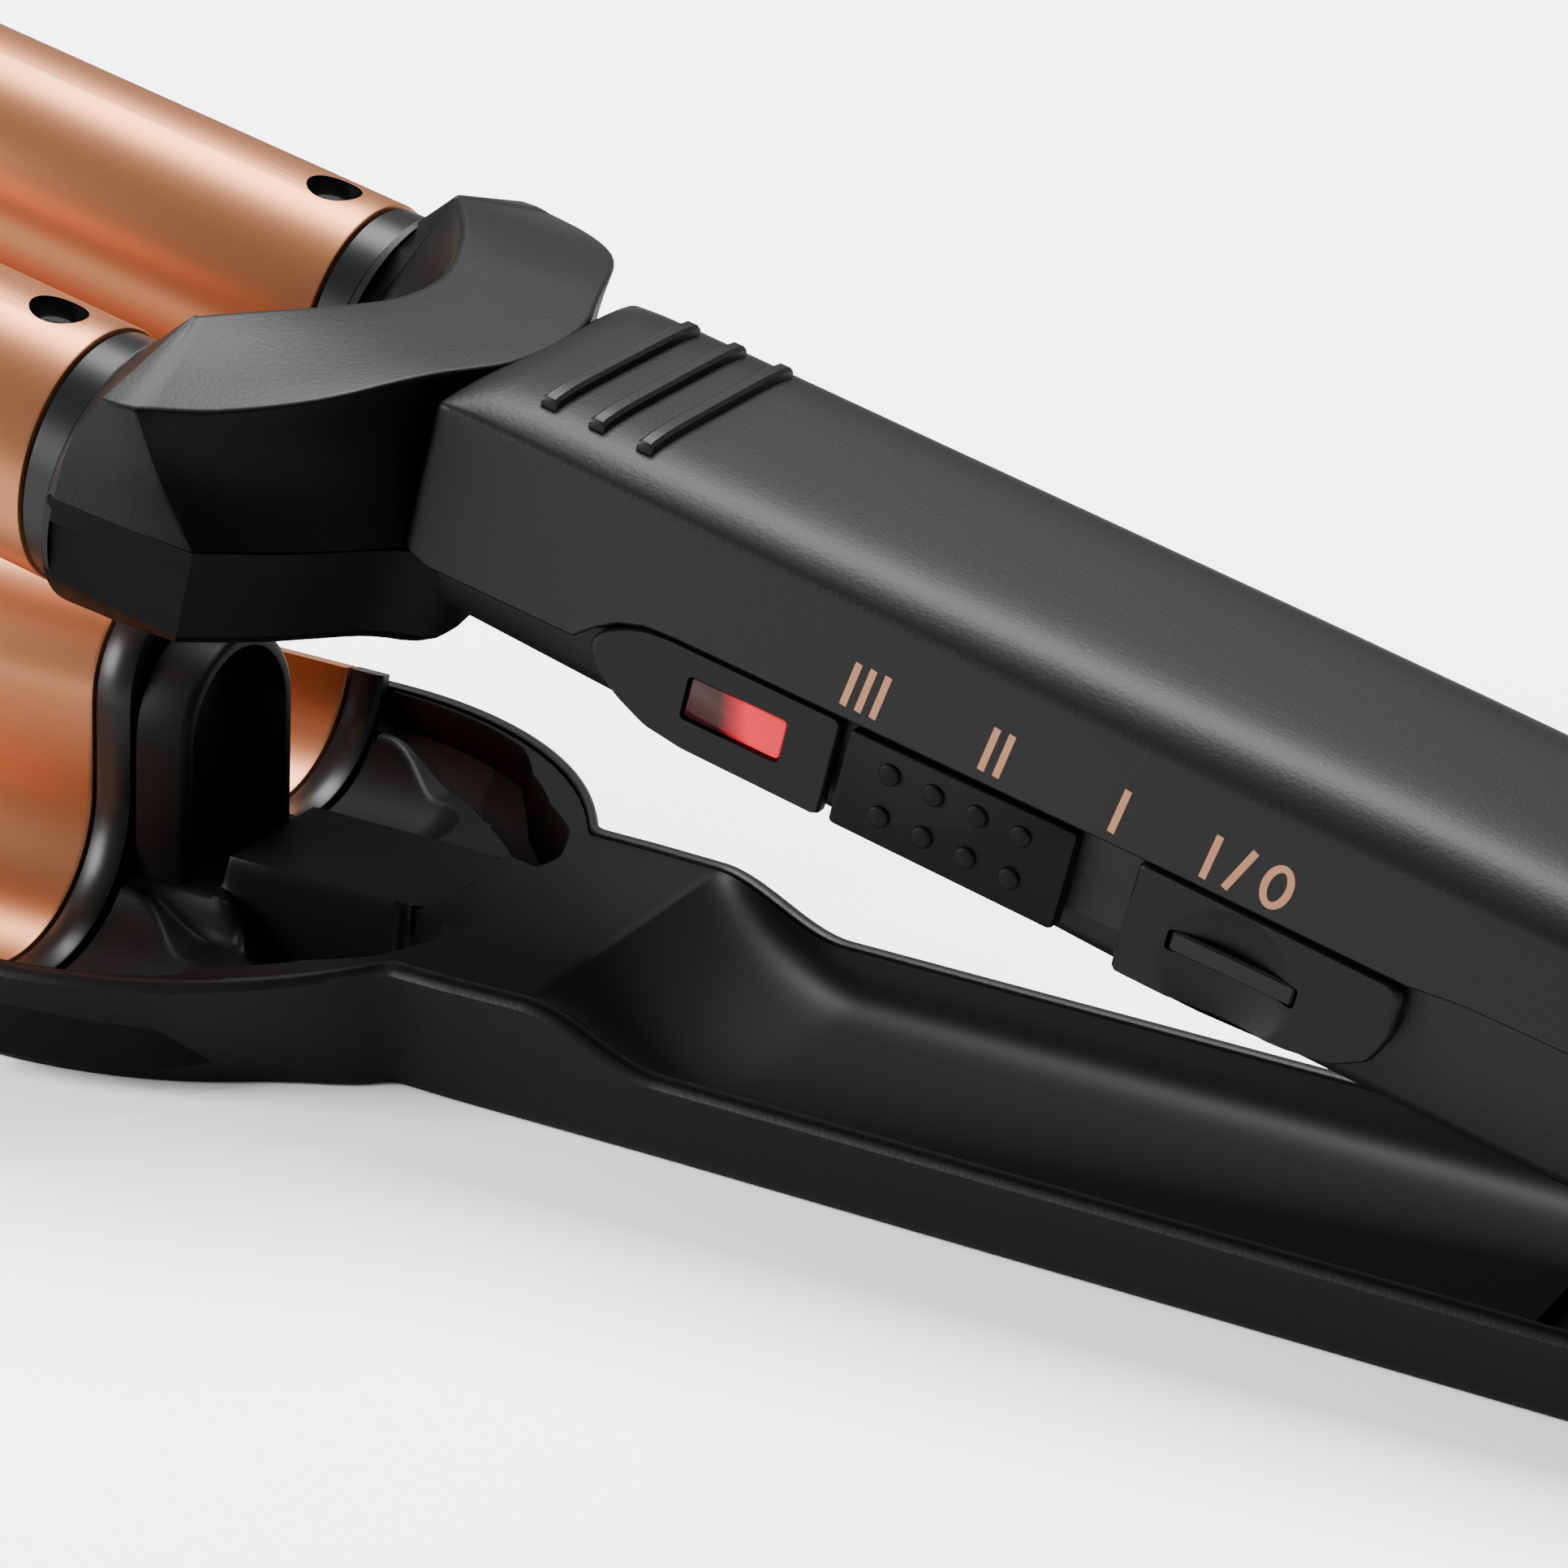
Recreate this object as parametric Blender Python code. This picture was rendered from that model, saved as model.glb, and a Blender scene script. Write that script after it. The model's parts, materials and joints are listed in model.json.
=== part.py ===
"""Triple-barrel hair waver: two round barrels on a sprung upper arm close over one wave plate."""
import math

import bmesh
import bpy
from mathutils import Matrix, Vector

MM = 0.001

# Driving dimensions, in millimetres. X runs from the tips to the cord, Y away from the controls.
FIT = 0.3                    # clearance left between pieces that touch
OPEN_ANGLE = 11.58           # how far the arms stand open, degrees
HINGE_X, HINGE_Z = 171.9, 11.1
HINGE_U, HINGE_W = 176.5, -5.0   # the same axis in the upper arm's own frame

BARREL_R = 11.0
BARREL_WALL = 1.3
BARREL_PITCH = 41.4          # between the two barrel axes
BARREL_TIP_U = -118.0
BARREL_END_U = -2.9          # middle of the slanted rear cut
BARREL_CUT = 1.0             # the cut leans this far each way
COLLAR_R = 10.75
FLANGE_R = 11.8
SPIGOT_R = 7.6                 # the collar's neck, held inside the fork
SCREW_U = -8.9
SCREW_HOLE_R = 2.5
CAP_LENGTH = 6.0

HANDLE_HALF = 15.6           # half width of the upper handle at its crease
CREASE_W = 15.6
CREASE_FALL = 0.021          # the crease drops this much a millimetre toward the hinge
CROWN = 2.3
HANDLE_FRONT_U = 24.0
RIB_FRONT_U, RIB_PITCH = 32.1, 4.55
RIB_HALF, RIB_RISE = 11.6, 0.6
HANDLE_REAR_U = 190.0
SHELL_WALL = 1.9
SHELL_EDGE_W = 4.7           # lower edge of the upper shell beside the controls
SHELL_CHIN_W = 1.0           # lower edge ahead of the controls
SEAM_W = 1.8                 # split line of the fork head
UNDER_HALF = HANDLE_HALF - 0.9
UNDER_FOOT = HANDLE_HALF - 3.3
PANEL_FACE_V = HANDLE_HALF + 0.3          # outer face of the control panels
PANEL_BACK_V = HANDLE_HALF - 1.5

PAD_FRONT_U, PAD_REAR_U = 66.0, 86.6
PAD_TOP_W, PAD_BOTTOM_W = 4.3, -4.2
PAD_TRAVEL = 5.0
LAMP_U, LAMP_W = 56.05, 0.45
LAMP_LONG, LAMP_HIGH = 9.1, 3.7
KEY_U, KEY_W = 101.5, -0.65
KEY_LONG, KEY_HIGH = 10.8, 1.8
REAR_PANEL_FRONT_U, REAR_PANEL_REAR_U = 92.0, 115.4
LAMP_PANEL_FRONT_U, LAMP_PANEL_REAR_U = 42.4, 65.1

JAW_TIP_X = BARREL_TIP_U - (HINGE_U - HINGE_X)     # both jaws end together when they are shut
PLATE_END_X = -11.0
PLATE_T = 1.6
TROUGH_R = 11.6
AXIS_CLOSED_Z = HINGE_Z - HINGE_W    # height of the barrel axes when the arms are shut
RIDGE_AXIS_Z = 24.0
LIP_ANGLE = 12.0             # the trough's outer lip stops this far below the barrel axis
GASKET_LONG = 3.2
BOSS_LONG = 4.0
BOSS_HALF = 8.2
BOSS_TOP_Z = 29.5
PAN_R = 36.6
PAN_CENTRE_X = -8.0
PAN_DRAFT = 4.4
CHANNEL_DRAFT = 0.8           # lean of the tray's wall beside the channel
PAN_RIM_Z = 11.8
CHANNEL_HALF = 17.1
CHANNEL_RIM_Z = 7.7
CHANNEL_FLOOR_Z = 3.2
TRAY_WALL = 1.8
NECK_END_X = 37.0
SLOPE_END_X = 46.0
JAW_REAR_X = 186.0
LINER_T = 1.1
DECK_Z = 11.4
LINER_REAR_X = 124.0
SPINE_HALF = 6.8
PIN_R = 2.0
EAR_IN, EAR_OUT = 8.8, 11.2
EAR_R = 4.2


def clear_scene():
    for obj in list(bpy.data.objects):
        bpy.data.objects.remove(obj, do_unlink=True)


def collection(name):
    group = bpy.data.collections.new(name)
    bpy.context.scene.collection.children.link(group)
    return group


clear_scene()
PARTS = collection("hair_waver")
CUTTERS = collection("cutters")


def finish(name, hex_rgb, roughness, metallic=0.0):
    mat = bpy.data.materials.new(name)
    mat.use_nodes = True
    shader = mat.node_tree.nodes["Principled BSDF"]
    shader.inputs["Base Color"].default_value = [int(hex_rgb[i:i + 2], 16) / 255 for i in (0, 2, 4)] + [1]
    shader.inputs["Roughness"].default_value = roughness
    shader.inputs["Metallic"].default_value = metallic
    return mat


def place(obj, mat, parent, cutter=False):
    """Puts an object in its collection, on its body's frame, with its material."""
    group = CUTTERS if cutter else PARTS
    group.objects.link(obj)
    obj.parent = parent
    if cutter:
        obj.hide_render = True
        obj.display_type = "WIRE"
    else:
        obj.data.materials.clear()
        obj.data.materials.append(mat)
    return obj


def mesh_object(name, bm, mat, parent, cutter=False):
    bmesh.ops.recalc_face_normals(bm, faces=bm.faces)
    bmesh.ops.scale(bm, vec=(MM, MM, MM), verts=bm.verts)
    mesh = bpy.data.meshes.new(name)
    bm.to_mesh(mesh)
    bm.free()
    mesh.shade_smooth()
    mesh.set_sharp_from_angle(angle=math.radians(35))
    return place(bpy.data.objects.new(name, mesh), mat, parent, cutter)


def box(name, low, high, mat, parent, cutter=False, bevel=0.0):
    bm = bmesh.new()
    bmesh.ops.create_cube(bm, size=1.0)
    bmesh.ops.scale(bm, vec=[b - a for a, b in zip(low, high)], verts=bm.verts)
    bmesh.ops.translate(bm, vec=[(a + b) / 2 for a, b in zip(low, high)], verts=bm.verts)
    if bevel:
        bmesh.ops.bevel(bm, geom=bm.edges[:], offset=bevel, segments=1, affect="EDGES")
    return mesh_object(name, bm, mat, parent, cutter)


def rod(name, start, end, radius, mat, parent, cutter=False, sides=24, end_radius=None):
    """A round bar or cone between two points."""
    bm = bmesh.new()
    start, end = Vector(start), Vector(end)
    bmesh.ops.create_cone(bm, cap_ends=True, segments=sides, radius1=radius,
                          radius2=radius if end_radius is None else end_radius,
                          depth=(end - start).length)
    turn = Vector((0, 0, 1)).rotation_difference(end - start).to_matrix().to_4x4()
    bmesh.ops.transform(bm, matrix=Matrix.Translation((start + end) / 2) @ turn, verts=bm.verts)
    return mesh_object(name, bm, mat, parent, cutter)


def loft(name, rings, mat, parent, cutter=False, closed=False):
    """Joins rings with the same number of points, capped at both ends or closed on itself."""
    bm = bmesh.new()
    rows = [[bm.verts.new(p) for p in ring] for ring in rings]
    count = len(rows[0])
    pairs = list(zip(rows, rows[1:])) + ([(rows[-1], rows[0])] if closed else [])
    for one, two in pairs:
        for i in range(count):
            j = (i + 1) % count
            bm.faces.new((one[i], one[j], two[j], two[i]))
    if not closed:
        bm.faces.new(rows[0][::-1])
        bm.faces.new(rows[-1])
    return mesh_object(name, bm, mat, parent, cutter)


def turned(name, profile, centre, mat, parent, sides=40):
    """A profile of (distance along X, radius) turned round an axis along X, closed at both ends."""
    rings = [[(centre[0] + x, centre[1] + r * math.sin(a), centre[2] + r * math.cos(a))
              for a in (2 * math.pi * k / sides for k in range(sides))] for x, r in profile]
    return loft(name, rings, mat, parent)


def boolean(target, other, operation="DIFFERENCE"):
    modifier = target.modifiers.new(operation.title(), "BOOLEAN")
    modifier.operation = operation
    modifier.object = other
    modifier.solver = "EXACT"
    return target


def steps(start, stop, count):
    return [start + (stop - start) * k / (count - 1) for k in range(count)]


def smooth(t):
    t = min(1.0, max(0.0, t))
    return t * t * (3 - 2 * t)


def blend(x, table):
    """Straight interpolation through a short list of (x, value) pairs."""
    for (xa, va), (xb, vb) in zip(table, table[1:]):
        if x <= xb:
            return va + (vb - va) * max(0.0, (x - xa) / (xb - xa))
    return table[-1][1]


BLACK = finish("black_moulded_plastic", "1b1c1e", 0.55)
SATIN = finish("satin_black_plastic", "26282b", 0.4)
COPPER = finish("copper_anodised_aluminium", "c98460", 0.35, 0.9)
RED = finish("red_lens", "b0182c", 0.1)
STEEL = finish("zinc_plated_steel", "8d9094", 0.35, 1.0)
BOARD = finish("green_circuit_board", "1f4a33", 0.6)
CERAMIC = finish("white_ceramic", "cfcac0", 0.7)
RUBBER = finish("black_rubber", "17181a", 0.8)

ROOT = None
pivot = bpy.data.objects.new("upper_arm_pivot", None)
pivot.location = (HINGE_X * MM, 0, HINGE_Z * MM)
pivot.rotation_euler = (0, math.radians(OPEN_ANGLE), 0)
PARTS.objects.link(pivot)
ARM = bpy.data.objects.new("upper_arm_frame", None)     # children use (u, v, w) millimetres
ARM.location = (-HINGE_U * MM, 0, -HINGE_W * MM)
ARM.parent = pivot
PARTS.objects.link(ARM)


# ---------------------------------------------------------------- lower arm
def pan_half(x):
    """Half width of the tray at its rim: a round-ended pan that runs into the handle channel."""
    if x <= PAN_CENTRE_X:
        return PAN_R
    reach = PAN_R ** 2 - (x - PAN_CENTRE_X) ** 2
    return max(CHANNEL_HALF, math.sqrt(max(0.0, reach)))


def tray_rim(x):
    return blend(x, [(NECK_END_X, PAN_RIM_Z), (SLOPE_END_X - 1, CHANNEL_RIM_Z + 0.2),
                     (SLOPE_END_X + 3, CHANNEL_RIM_Z)])


def tray_foot(x):
    """Half width at the underside: the wall leans out, most of all round the pan."""
    lean = PAN_DRAFT * smooth((pan_half(x) - CHANNEL_HALF) / 12.0)
    return pan_half(x) - lean - CHANNEL_DRAFT


def lower_shell():
    arc = [PAN_CENTRE_X + PAN_R * math.sin(math.radians(a)) for a in (12, 24, 36, 46, 54, 60, 68.28)]
    stops = [JAW_TIP_X, PAN_CENTRE_X] + arc
    stops += [NECK_END_X, SLOPE_END_X - 1, SLOPE_END_X + 3, JAW_REAR_X]
    rings = []
    for x in stops:
        top, foot, rim = pan_half(x), tray_foot(x), tray_rim(x)
        round_off = 1.4
        outer = [(top, rim), (foot + 0.3, round_off), (foot - round_off, 0.0)]
        inner = [(foot - TRAY_WALL - 1.0, TRAY_WALL), (foot - TRAY_WALL, TRAY_WALL + 0.8),
                 (top - TRAY_WALL, rim)]
        ring = [(x, -y, z) for y, z in outer] + [(x, y, z) for y, z in outer[::-1]]
        ring += [(x, y, z) for y, z in inner[::-1]] + [(x, -y, z) for y, z in inner]
        rings.append(ring)
    shell = loft("lower_shell", rings, BLACK, ROOT)
    for side in (-1, 1):
        inner, outer = sorted((side * EAR_IN, side * EAR_OUT))
        ear = box(f"ear_block_{side}", (HINGE_X - EAR_R, inner, TRAY_WALL - 0.5),
                  (HINGE_X + EAR_R, outer, HINGE_Z), BLACK, ROOT, cutter=True)
        boss = rod(f"ear_boss_{side}", (HINGE_X, inner, HINGE_Z), (HINGE_X, outer, HINGE_Z), EAR_R,
                   BLACK, ROOT, cutter=True)
        boolean(shell, ear, "UNION")
        boolean(shell, boss, "UNION")
    hole = rod("pin_hole_lower", (HINGE_X, -30, HINGE_Z), (HINGE_X, 30, HINGE_Z), PIN_R + FIT,
               BLACK, ROOT, cutter=True)
    boolean(shell, hole)
    return shell


def wave(offset, sections=10):
    """Upper outline of the wave plate, (y, z) from the near lip to the far lip.

    Each trough is an arc about its barrel's closed axis, the ridge between them is two upright
    flanks under a half circle. offset moves the whole outline inward, under the surface.
    """
    pitch = BARREL_PITCH / 2
    trough, ridge = TROUGH_R + offset, pitch - TROUGH_R - offset
    half = []
    for a in steps(math.radians(180 + LIP_ANGLE), math.radians(360), sections):
        half.append((-pitch + trough * math.cos(a), AXIS_CLOSED_Z + trough * math.sin(a)))
    for a in steps(math.radians(180), math.radians(90), 6):
        half.append((ridge * math.cos(a), RIDGE_AXIS_Z + ridge * math.sin(a)))
    return half + [(-y, z) for y, z in half[-2::-1]]


def strip(name, x_from, x_to, top, under, mat, parent):
    """A sheet between two wave outlines, carried along X."""
    ring = wave(top) + wave(under)[::-1]
    return loft(name, [[(x, y, z) for y, z in ring] for x in (x_from, x_to)], mat, parent)


def wave_jaw():
    strip("wave_plate", JAW_TIP_X, PLATE_END_X, 0.0, PLATE_T, COPPER, ROOT)
    strip("plate_gasket", PLATE_END_X + FIT, PLATE_END_X + FIT + GASKET_LONG, 0.3, 1.7, SATIN, ROOT)
    start = PLATE_END_X + 2 * FIT + GASKET_LONG
    top = [(BOSS_HALF * math.cos(a), BOSS_TOP_Z - BOSS_HALF + BOSS_HALF * math.sin(a))
           for a in steps(0, math.pi, 13)]
    ring = [(-BOSS_HALF, TRAY_WALL + FIT), (BOSS_HALF, TRAY_WALL + FIT)] + top
    loft("plate_end_boss", [[(x, y, z) for y, z in ring] for x in (start, start + BOSS_LONG)], BLACK, ROOT)
    foot, lip = tray_foot(JAW_TIP_X), PAN_R
    cap = wave(0.3) + [(lip - 0.4, wave(0.3)[-1][1]), (lip - 0.4, PAN_RIM_Z), (foot, 1.4), (foot - 1.4, 0.0)]
    cap += [(-(foot - 1.4), 0.0), (-foot, 1.4), (-(lip - 0.4), PAN_RIM_Z), (-(lip - 0.4), wave(0.3)[0][1])]
    nose = [(JAW_TIP_X - FIT, 1.0), (JAW_TIP_X - CAP_LENGTH + 1.5, 1.0), (JAW_TIP_X - CAP_LENGTH, 0.93)]
    middle = 12.0
    rings = [[(x, y * k, middle + (z - middle) * k) for y, z in cap] for x, k in nose]
    loft("lower_tip_cap", rings, BLACK, ROOT)
    front, rear = JAW_TIP_X + 14, PLATE_END_X - 16
    half = BARREL_PITCH / 2 - TROUGH_R - PLATE_T - 2 * FIT
    box("plate_heater", (front, -half, 15.0), (rear, half, 19.0), CERAMIC, ROOT)
    box("heater_clamp", (front + 6, -half + 0.6, 8.0), (rear - 6, half - 0.6, 15.0 - FIT), STEEL, ROOT)
    rod("thermal_fuse", (front + 30, -0.2, 5.0), (front + 42, -0.2, 5.0), 2.2, STEEL, ROOT, sides=16)


def lower_liner():
    inside = CHANNEL_HALF - TRAY_WALL - FIT
    start = 26.0
    profile = [(start, DECK_Z), (NECK_END_X - 1, DECK_Z), (NECK_END_X + 1.5, DECK_Z - 0.8),
               (SLOPE_END_X - 1.0, 6.6), (SLOPE_END_X + 4.0, CHANNEL_FLOOR_Z + 0.8),
               (SLOPE_END_X + 9.0, CHANNEL_FLOOR_Z), (LINER_REAR_X, CHANNEL_FLOOR_Z)]
    rings = []
    for x, floor in profile:
        lip = max(tray_rim(x) - 0.4, floor + 0.02)
        under = TRAY_WALL + FIT
        outer = [(inside, lip), (inside - 0.9, under + 1.1), (inside - 2.4, under)]
        inner = [(inside - LINER_T - 3.1, floor), (inside - LINER_T - 0.9, min(floor + 1.6, lip - 0.02)),
                 (inside - LINER_T + 0.2, lip)]
        ring = [(x, -y, z) for y, z in outer] + [(x, y, z) for y, z in outer[::-1]]
        ring += [(x, y, z) for y, z in inner[::-1]] + [(x, -y, z) for y, z in inner]
        rings.append(ring)
    liner = loft("lower_liner", rings, BLACK, ROOT)
    front = PLATE_END_X + 3 * FIT + GASKET_LONG + BOSS_LONG
    spine = box("spine_block", (front, -SPINE_HALF, TRAY_WALL + FIT), (start + 0.5, SPINE_HALF, DECK_Z - 0.2),
                BLACK, ROOT, cutter=True, bevel=0.6)
    boolean(liner, spine, "UNION")
    for x, name in ((29.0, "front"), (118.0, "rear")):
        rod(f"liner_screw_{name}", (x, 0, 0.3), (x, 0, TRAY_WALL), 2.6, STEEL, ROOT, sides=20)
        hole = rod(f"liner_screw_hole_{name}", (x, 0, -1), (x, 0, TRAY_WALL + 1.0), 2.6 + FIT,
                   STEEL, ROOT, True)
        boolean(bpy.data.objects["lower_shell"], hole)


def hinge():
    rod("hinge_pin", (HINGE_X, -UNDER_FOOT + 0.2, HINGE_Z), (HINGE_X, UNDER_FOOT - 0.2, HINGE_Z), PIN_R,
        STEEL, ROOT, sides=24)
    curve = bpy.data.curves.new("hinge_spring", "CURVE")
    curve.dimensions = "3D"
    curve.bevel_depth = 0.5 * MM
    curve.bevel_resolution = 2
    curve.use_fill_caps = True
    line = curve.splines.new("POLY")
    turns, per_turn, radius, half = 5, 12, PIN_R + 1.6, 5.0
    points = [(HINGE_X - 16, -half, TRAY_WALL + 1.0), (HINGE_X - 6, -half, HINGE_Z - radius - 0.6)]
    for k in range(turns * per_turn + 1):
        a = math.pi + 2 * math.pi * k / per_turn
        points.append((HINGE_X - radius * math.sin(a - math.pi), -half + 2 * half * k / (turns * per_turn),
                       HINGE_Z + radius * math.cos(a)))
    line.points.add(len(points) - 1)
    for point, xyz in zip(line.points, points):
        point.co = (xyz[0] * MM, xyz[1] * MM, xyz[2] * MM, 1)
    spring = bpy.data.objects.new("hinge_spring", curve)
    place(spring, STEEL, ROOT)
    wide, low = 4.2, TRAY_WALL + FIT
    tops = [(LINER_REAR_X + 3.5, 10.0), (LINER_REAR_X + 6, 12.0), (LINER_REAR_X + 24, 12.0),
            (LINER_REAR_X + 28, 6.0)]
    rings = [[(x, -wide, low), (x, wide, low), (x, wide, top), (x, -wide, top)] for x, top in tops]
    loft("wire_boot", rings, RUBBER, ROOT)


# ---------------------------------------------------------------- upper arm
def handle_half(u):
    return blend(u, [(90, HANDLE_HALF), (140, HANDLE_HALF - 0.6), (HANDLE_REAR_U - 12, HANDLE_HALF - 1.4),
                     (HANDLE_REAR_U, HANDLE_HALF - 3.4)])


def crease(u):
    return CREASE_W - CREASE_FALL * u


def crown(u, v):
    """Height of the handle's top: a flattened arch between the two creases."""
    return crease(u) + CROWN * (1 - (v / handle_half(u)) ** 4)


def head_top(v):
    """Height of the fork's top facet, which rolls down toward the outside of each prong."""
    return 16.2 - 0.011 * max(0.0, abs(v) - 12.0) ** 2


# Corner rails of the fork from its middle to a prong's end: (u, v) pairs for positive v.
INNER_RAIL = [(12.5, 0.0), (11.9, 6.0), (9.6, 11.2), (6.6, 15.6), (3.5, 19.0)]
OUTER_RAIL = [(25.8, 0.0), (23.4, 11.4), (18.6, 22.0), (12.6, 28.4), (7.6, 31.8)]
TIP_CORNER = (4.6, 32.3)
INNER_FOOT = [(12.0, 0.0), (10.4, 4.6), (7.0, 7.6), (3.6, 8.9), (0.9, 9.2)]
OUTER_FOOT = [(26.6, 0.0), (25.4, 14.6), (22.6, 22.0), (18.6, 28.4), (14.0, 31.6)]


def fork_ring(inner, outer, foot_in, foot_out, side, grow=0.0, floor=SEAM_W):
    """One section across the fork: top inner and outer corners, then the feet at the split line."""
    rows = [(inner[0] + grow, inner[1], head_top(inner[1]) - grow),
            ((inner[0] + outer[0]) / 2, (inner[1] + outer[1]) / 2,
             head_top((inner[1] + outer[1]) / 2) - grow),
            (outer[0] - grow, outer[1] - 0.4 * grow, head_top(outer[1]) - grow),
            ((outer[0] + foot_out[0]) / 2 - 0.6 - grow, (outer[1] + foot_out[1]) / 2 - 1.0 - 0.6 * grow,
             (head_top(outer[1]) + SEAM_W) / 2 - 1.0),
            (foot_out[0] - grow, foot_out[1] - 0.6 * grow, floor),
            (foot_in[0] + grow, foot_in[1] + 0.3 * grow, floor)]
    return [(u, side * v, w) for u, v, w in rows]


def fork(name, mat, cutter, grow=0.0, floor=SEAM_W):
    """The crescent of the fork, carried from one prong's end round to the other."""
    rails = list(zip(INNER_RAIL, OUTER_RAIL, INNER_FOOT, OUTER_FOOT))
    if not grow:
        end = ((3.5, 19.0), TIP_CORNER, (0.9, 9.2), (1.2, 32.6))
        rails.append(end)
    rings = [fork_ring(*rail, 1, grow, floor) for rail in rails[::-1]]
    rings += [fork_ring(*rail, -1, grow, floor) for rail in rails[1:]]
    return loft(name, rings, mat, ARM, cutter)


def handle_ring(u, inset, low):
    """Section of the upper shell at u: outside skin, then the same skin set in by the wall."""
    half, rise = handle_half(u), []
    for v in steps(-half, half, 9):
        rise.append((v, crown(u, v)))
    outer = [(-half, low)] + rise + [(half, low)]
    inner = [(v * (half - inset) / half, w - inset) for v, w in rise]
    inner = [(half - inset, low)] + inner[::-1] + [(-half + inset, low)]
    return [(u, v, w) for v, w in outer + inner]


def under_depth(u):
    return blend(u, [(46, -3.7), (107, -7.2), (131, -7.7), (HANDLE_REAR_U, -7.7)])


def upper_shell():
    low = [(HANDLE_FRONT_U, SHELL_CHIN_W), (40.0, SHELL_CHIN_W), (44.0, SHELL_EDGE_W), (90.0, SHELL_EDGE_W),
           (140.0, SHELL_EDGE_W), (HANDLE_REAR_U - 12, SHELL_EDGE_W), (HANDLE_REAR_U, SHELL_EDGE_W)]
    shell = loft("upper_shell", [handle_ring(u, SHELL_WALL, w) for u, w in low], BLACK, ARM)
    boolean(shell, fork("fork_block", BLACK, True, floor=SEAM_W - 0.9), "UNION")
    for side in (-1, 1):
        flange = rod(f"flange_{side}", (0.5, side * BARREL_PITCH / 2, 0), (3.2, side * BARREL_PITCH / 2, 0),
                     FLANGE_R, BLACK, ARM, True, sides=48)
        boolean(shell, flange, "UNION")
        bore = rod(f"spigot_bore_{side}", (-2, side * BARREL_PITCH / 2, 0), (9.4, side * BARREL_PITCH / 2, 0),
                   SPIGOT_R + FIT, BLACK, ARM, True, sides=32)
        boolean(shell, bore)
    for k in range(3):
        u = RIB_FRONT_U + RIB_PITCH * k
        rib = box(f"rib_{k}", (u - 0.75, -RIB_HALF, crease(u) - 0.6),
                  (u + 0.75, RIB_HALF, crease(u) + CROWN + RIB_RISE), BLACK, ARM, True, bevel=0.35)
        boolean(shell, rib, "UNION")
    below = box("below_seam", (-2, -40, -20), (HANDLE_FRONT_U + 0.9, 40, SEAM_W), BLACK, ARM, True)
    boolean(shell, below)
    boolean(shell, fork("fork_hollow", BLACK, True, grow=2.2, floor=SEAM_W - 3))
    throat = box("throat", (HANDLE_FRONT_U - 6.3, -10.6, SEAM_W - 4), (HANDLE_FRONT_U + 5, 10.6, 12.7),
                 BLACK, ARM, True)
    boolean(shell, throat)
    return shell


def split_line(u):
    """Top of the under shell: it steps down where the handle's chin starts."""
    return SEAM_W - FIT if u < HANDLE_FRONT_U - 0.2 else SHELL_CHIN_W - FIT - 0.15


def belly_ring(u, centre, half, depth, inset=0.0, rise=0.0):
    """Half-round section that hangs below the split line."""
    top, ring = split_line(u), []
    for a in steps(math.pi, 2 * math.pi, 13):
        drop = (depth - inset) * abs(math.sin(a)) ** 0.8
        ring.append((u, centre + (half - inset) * math.cos(a), top - drop))
    if rise:
        ring += [(u, centre + half - inset, top + rise), (u, centre - half + inset, top + rise)]
    return ring


# The under half of each prong, from the flange back to the handle: (u, centre v, half width, depth).
BELLY = [(0.5, 20.7, 11.8, 13.1), (5.0, 20.7, 11.7, 12.6), (12.0, 19.6, 11.2, 10.6), (19.0, 16.6, 9.4, 9.4),
         (23.7, 12.6, 5.8, 7.4), (23.9, 12.4, 5.6, 6.6), (29.0, 9.4, 3.6, 4.4)]


def under_ring(u):
    top = SHELL_EDGE_W - FIT if u > 44.2 else SHELL_CHIN_W - FIT
    low, foot, wall = under_depth(u), UNDER_FOOT, 1.6
    outer = [(-UNDER_HALF, top), (-foot - 0.9, low + 1.2), (-foot, low), (foot, low), (foot + 0.9, low + 1.2),
             (UNDER_HALF, top)]
    inner = [(UNDER_HALF - wall, top), (foot - 0.8, low + 2.2), (-foot + 0.8, low + 2.2),
             (-UNDER_HALF + wall, top)]
    return [(u, v * handle_half(u) / HANDLE_HALF, w) for v, w in outer + inner]


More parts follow.
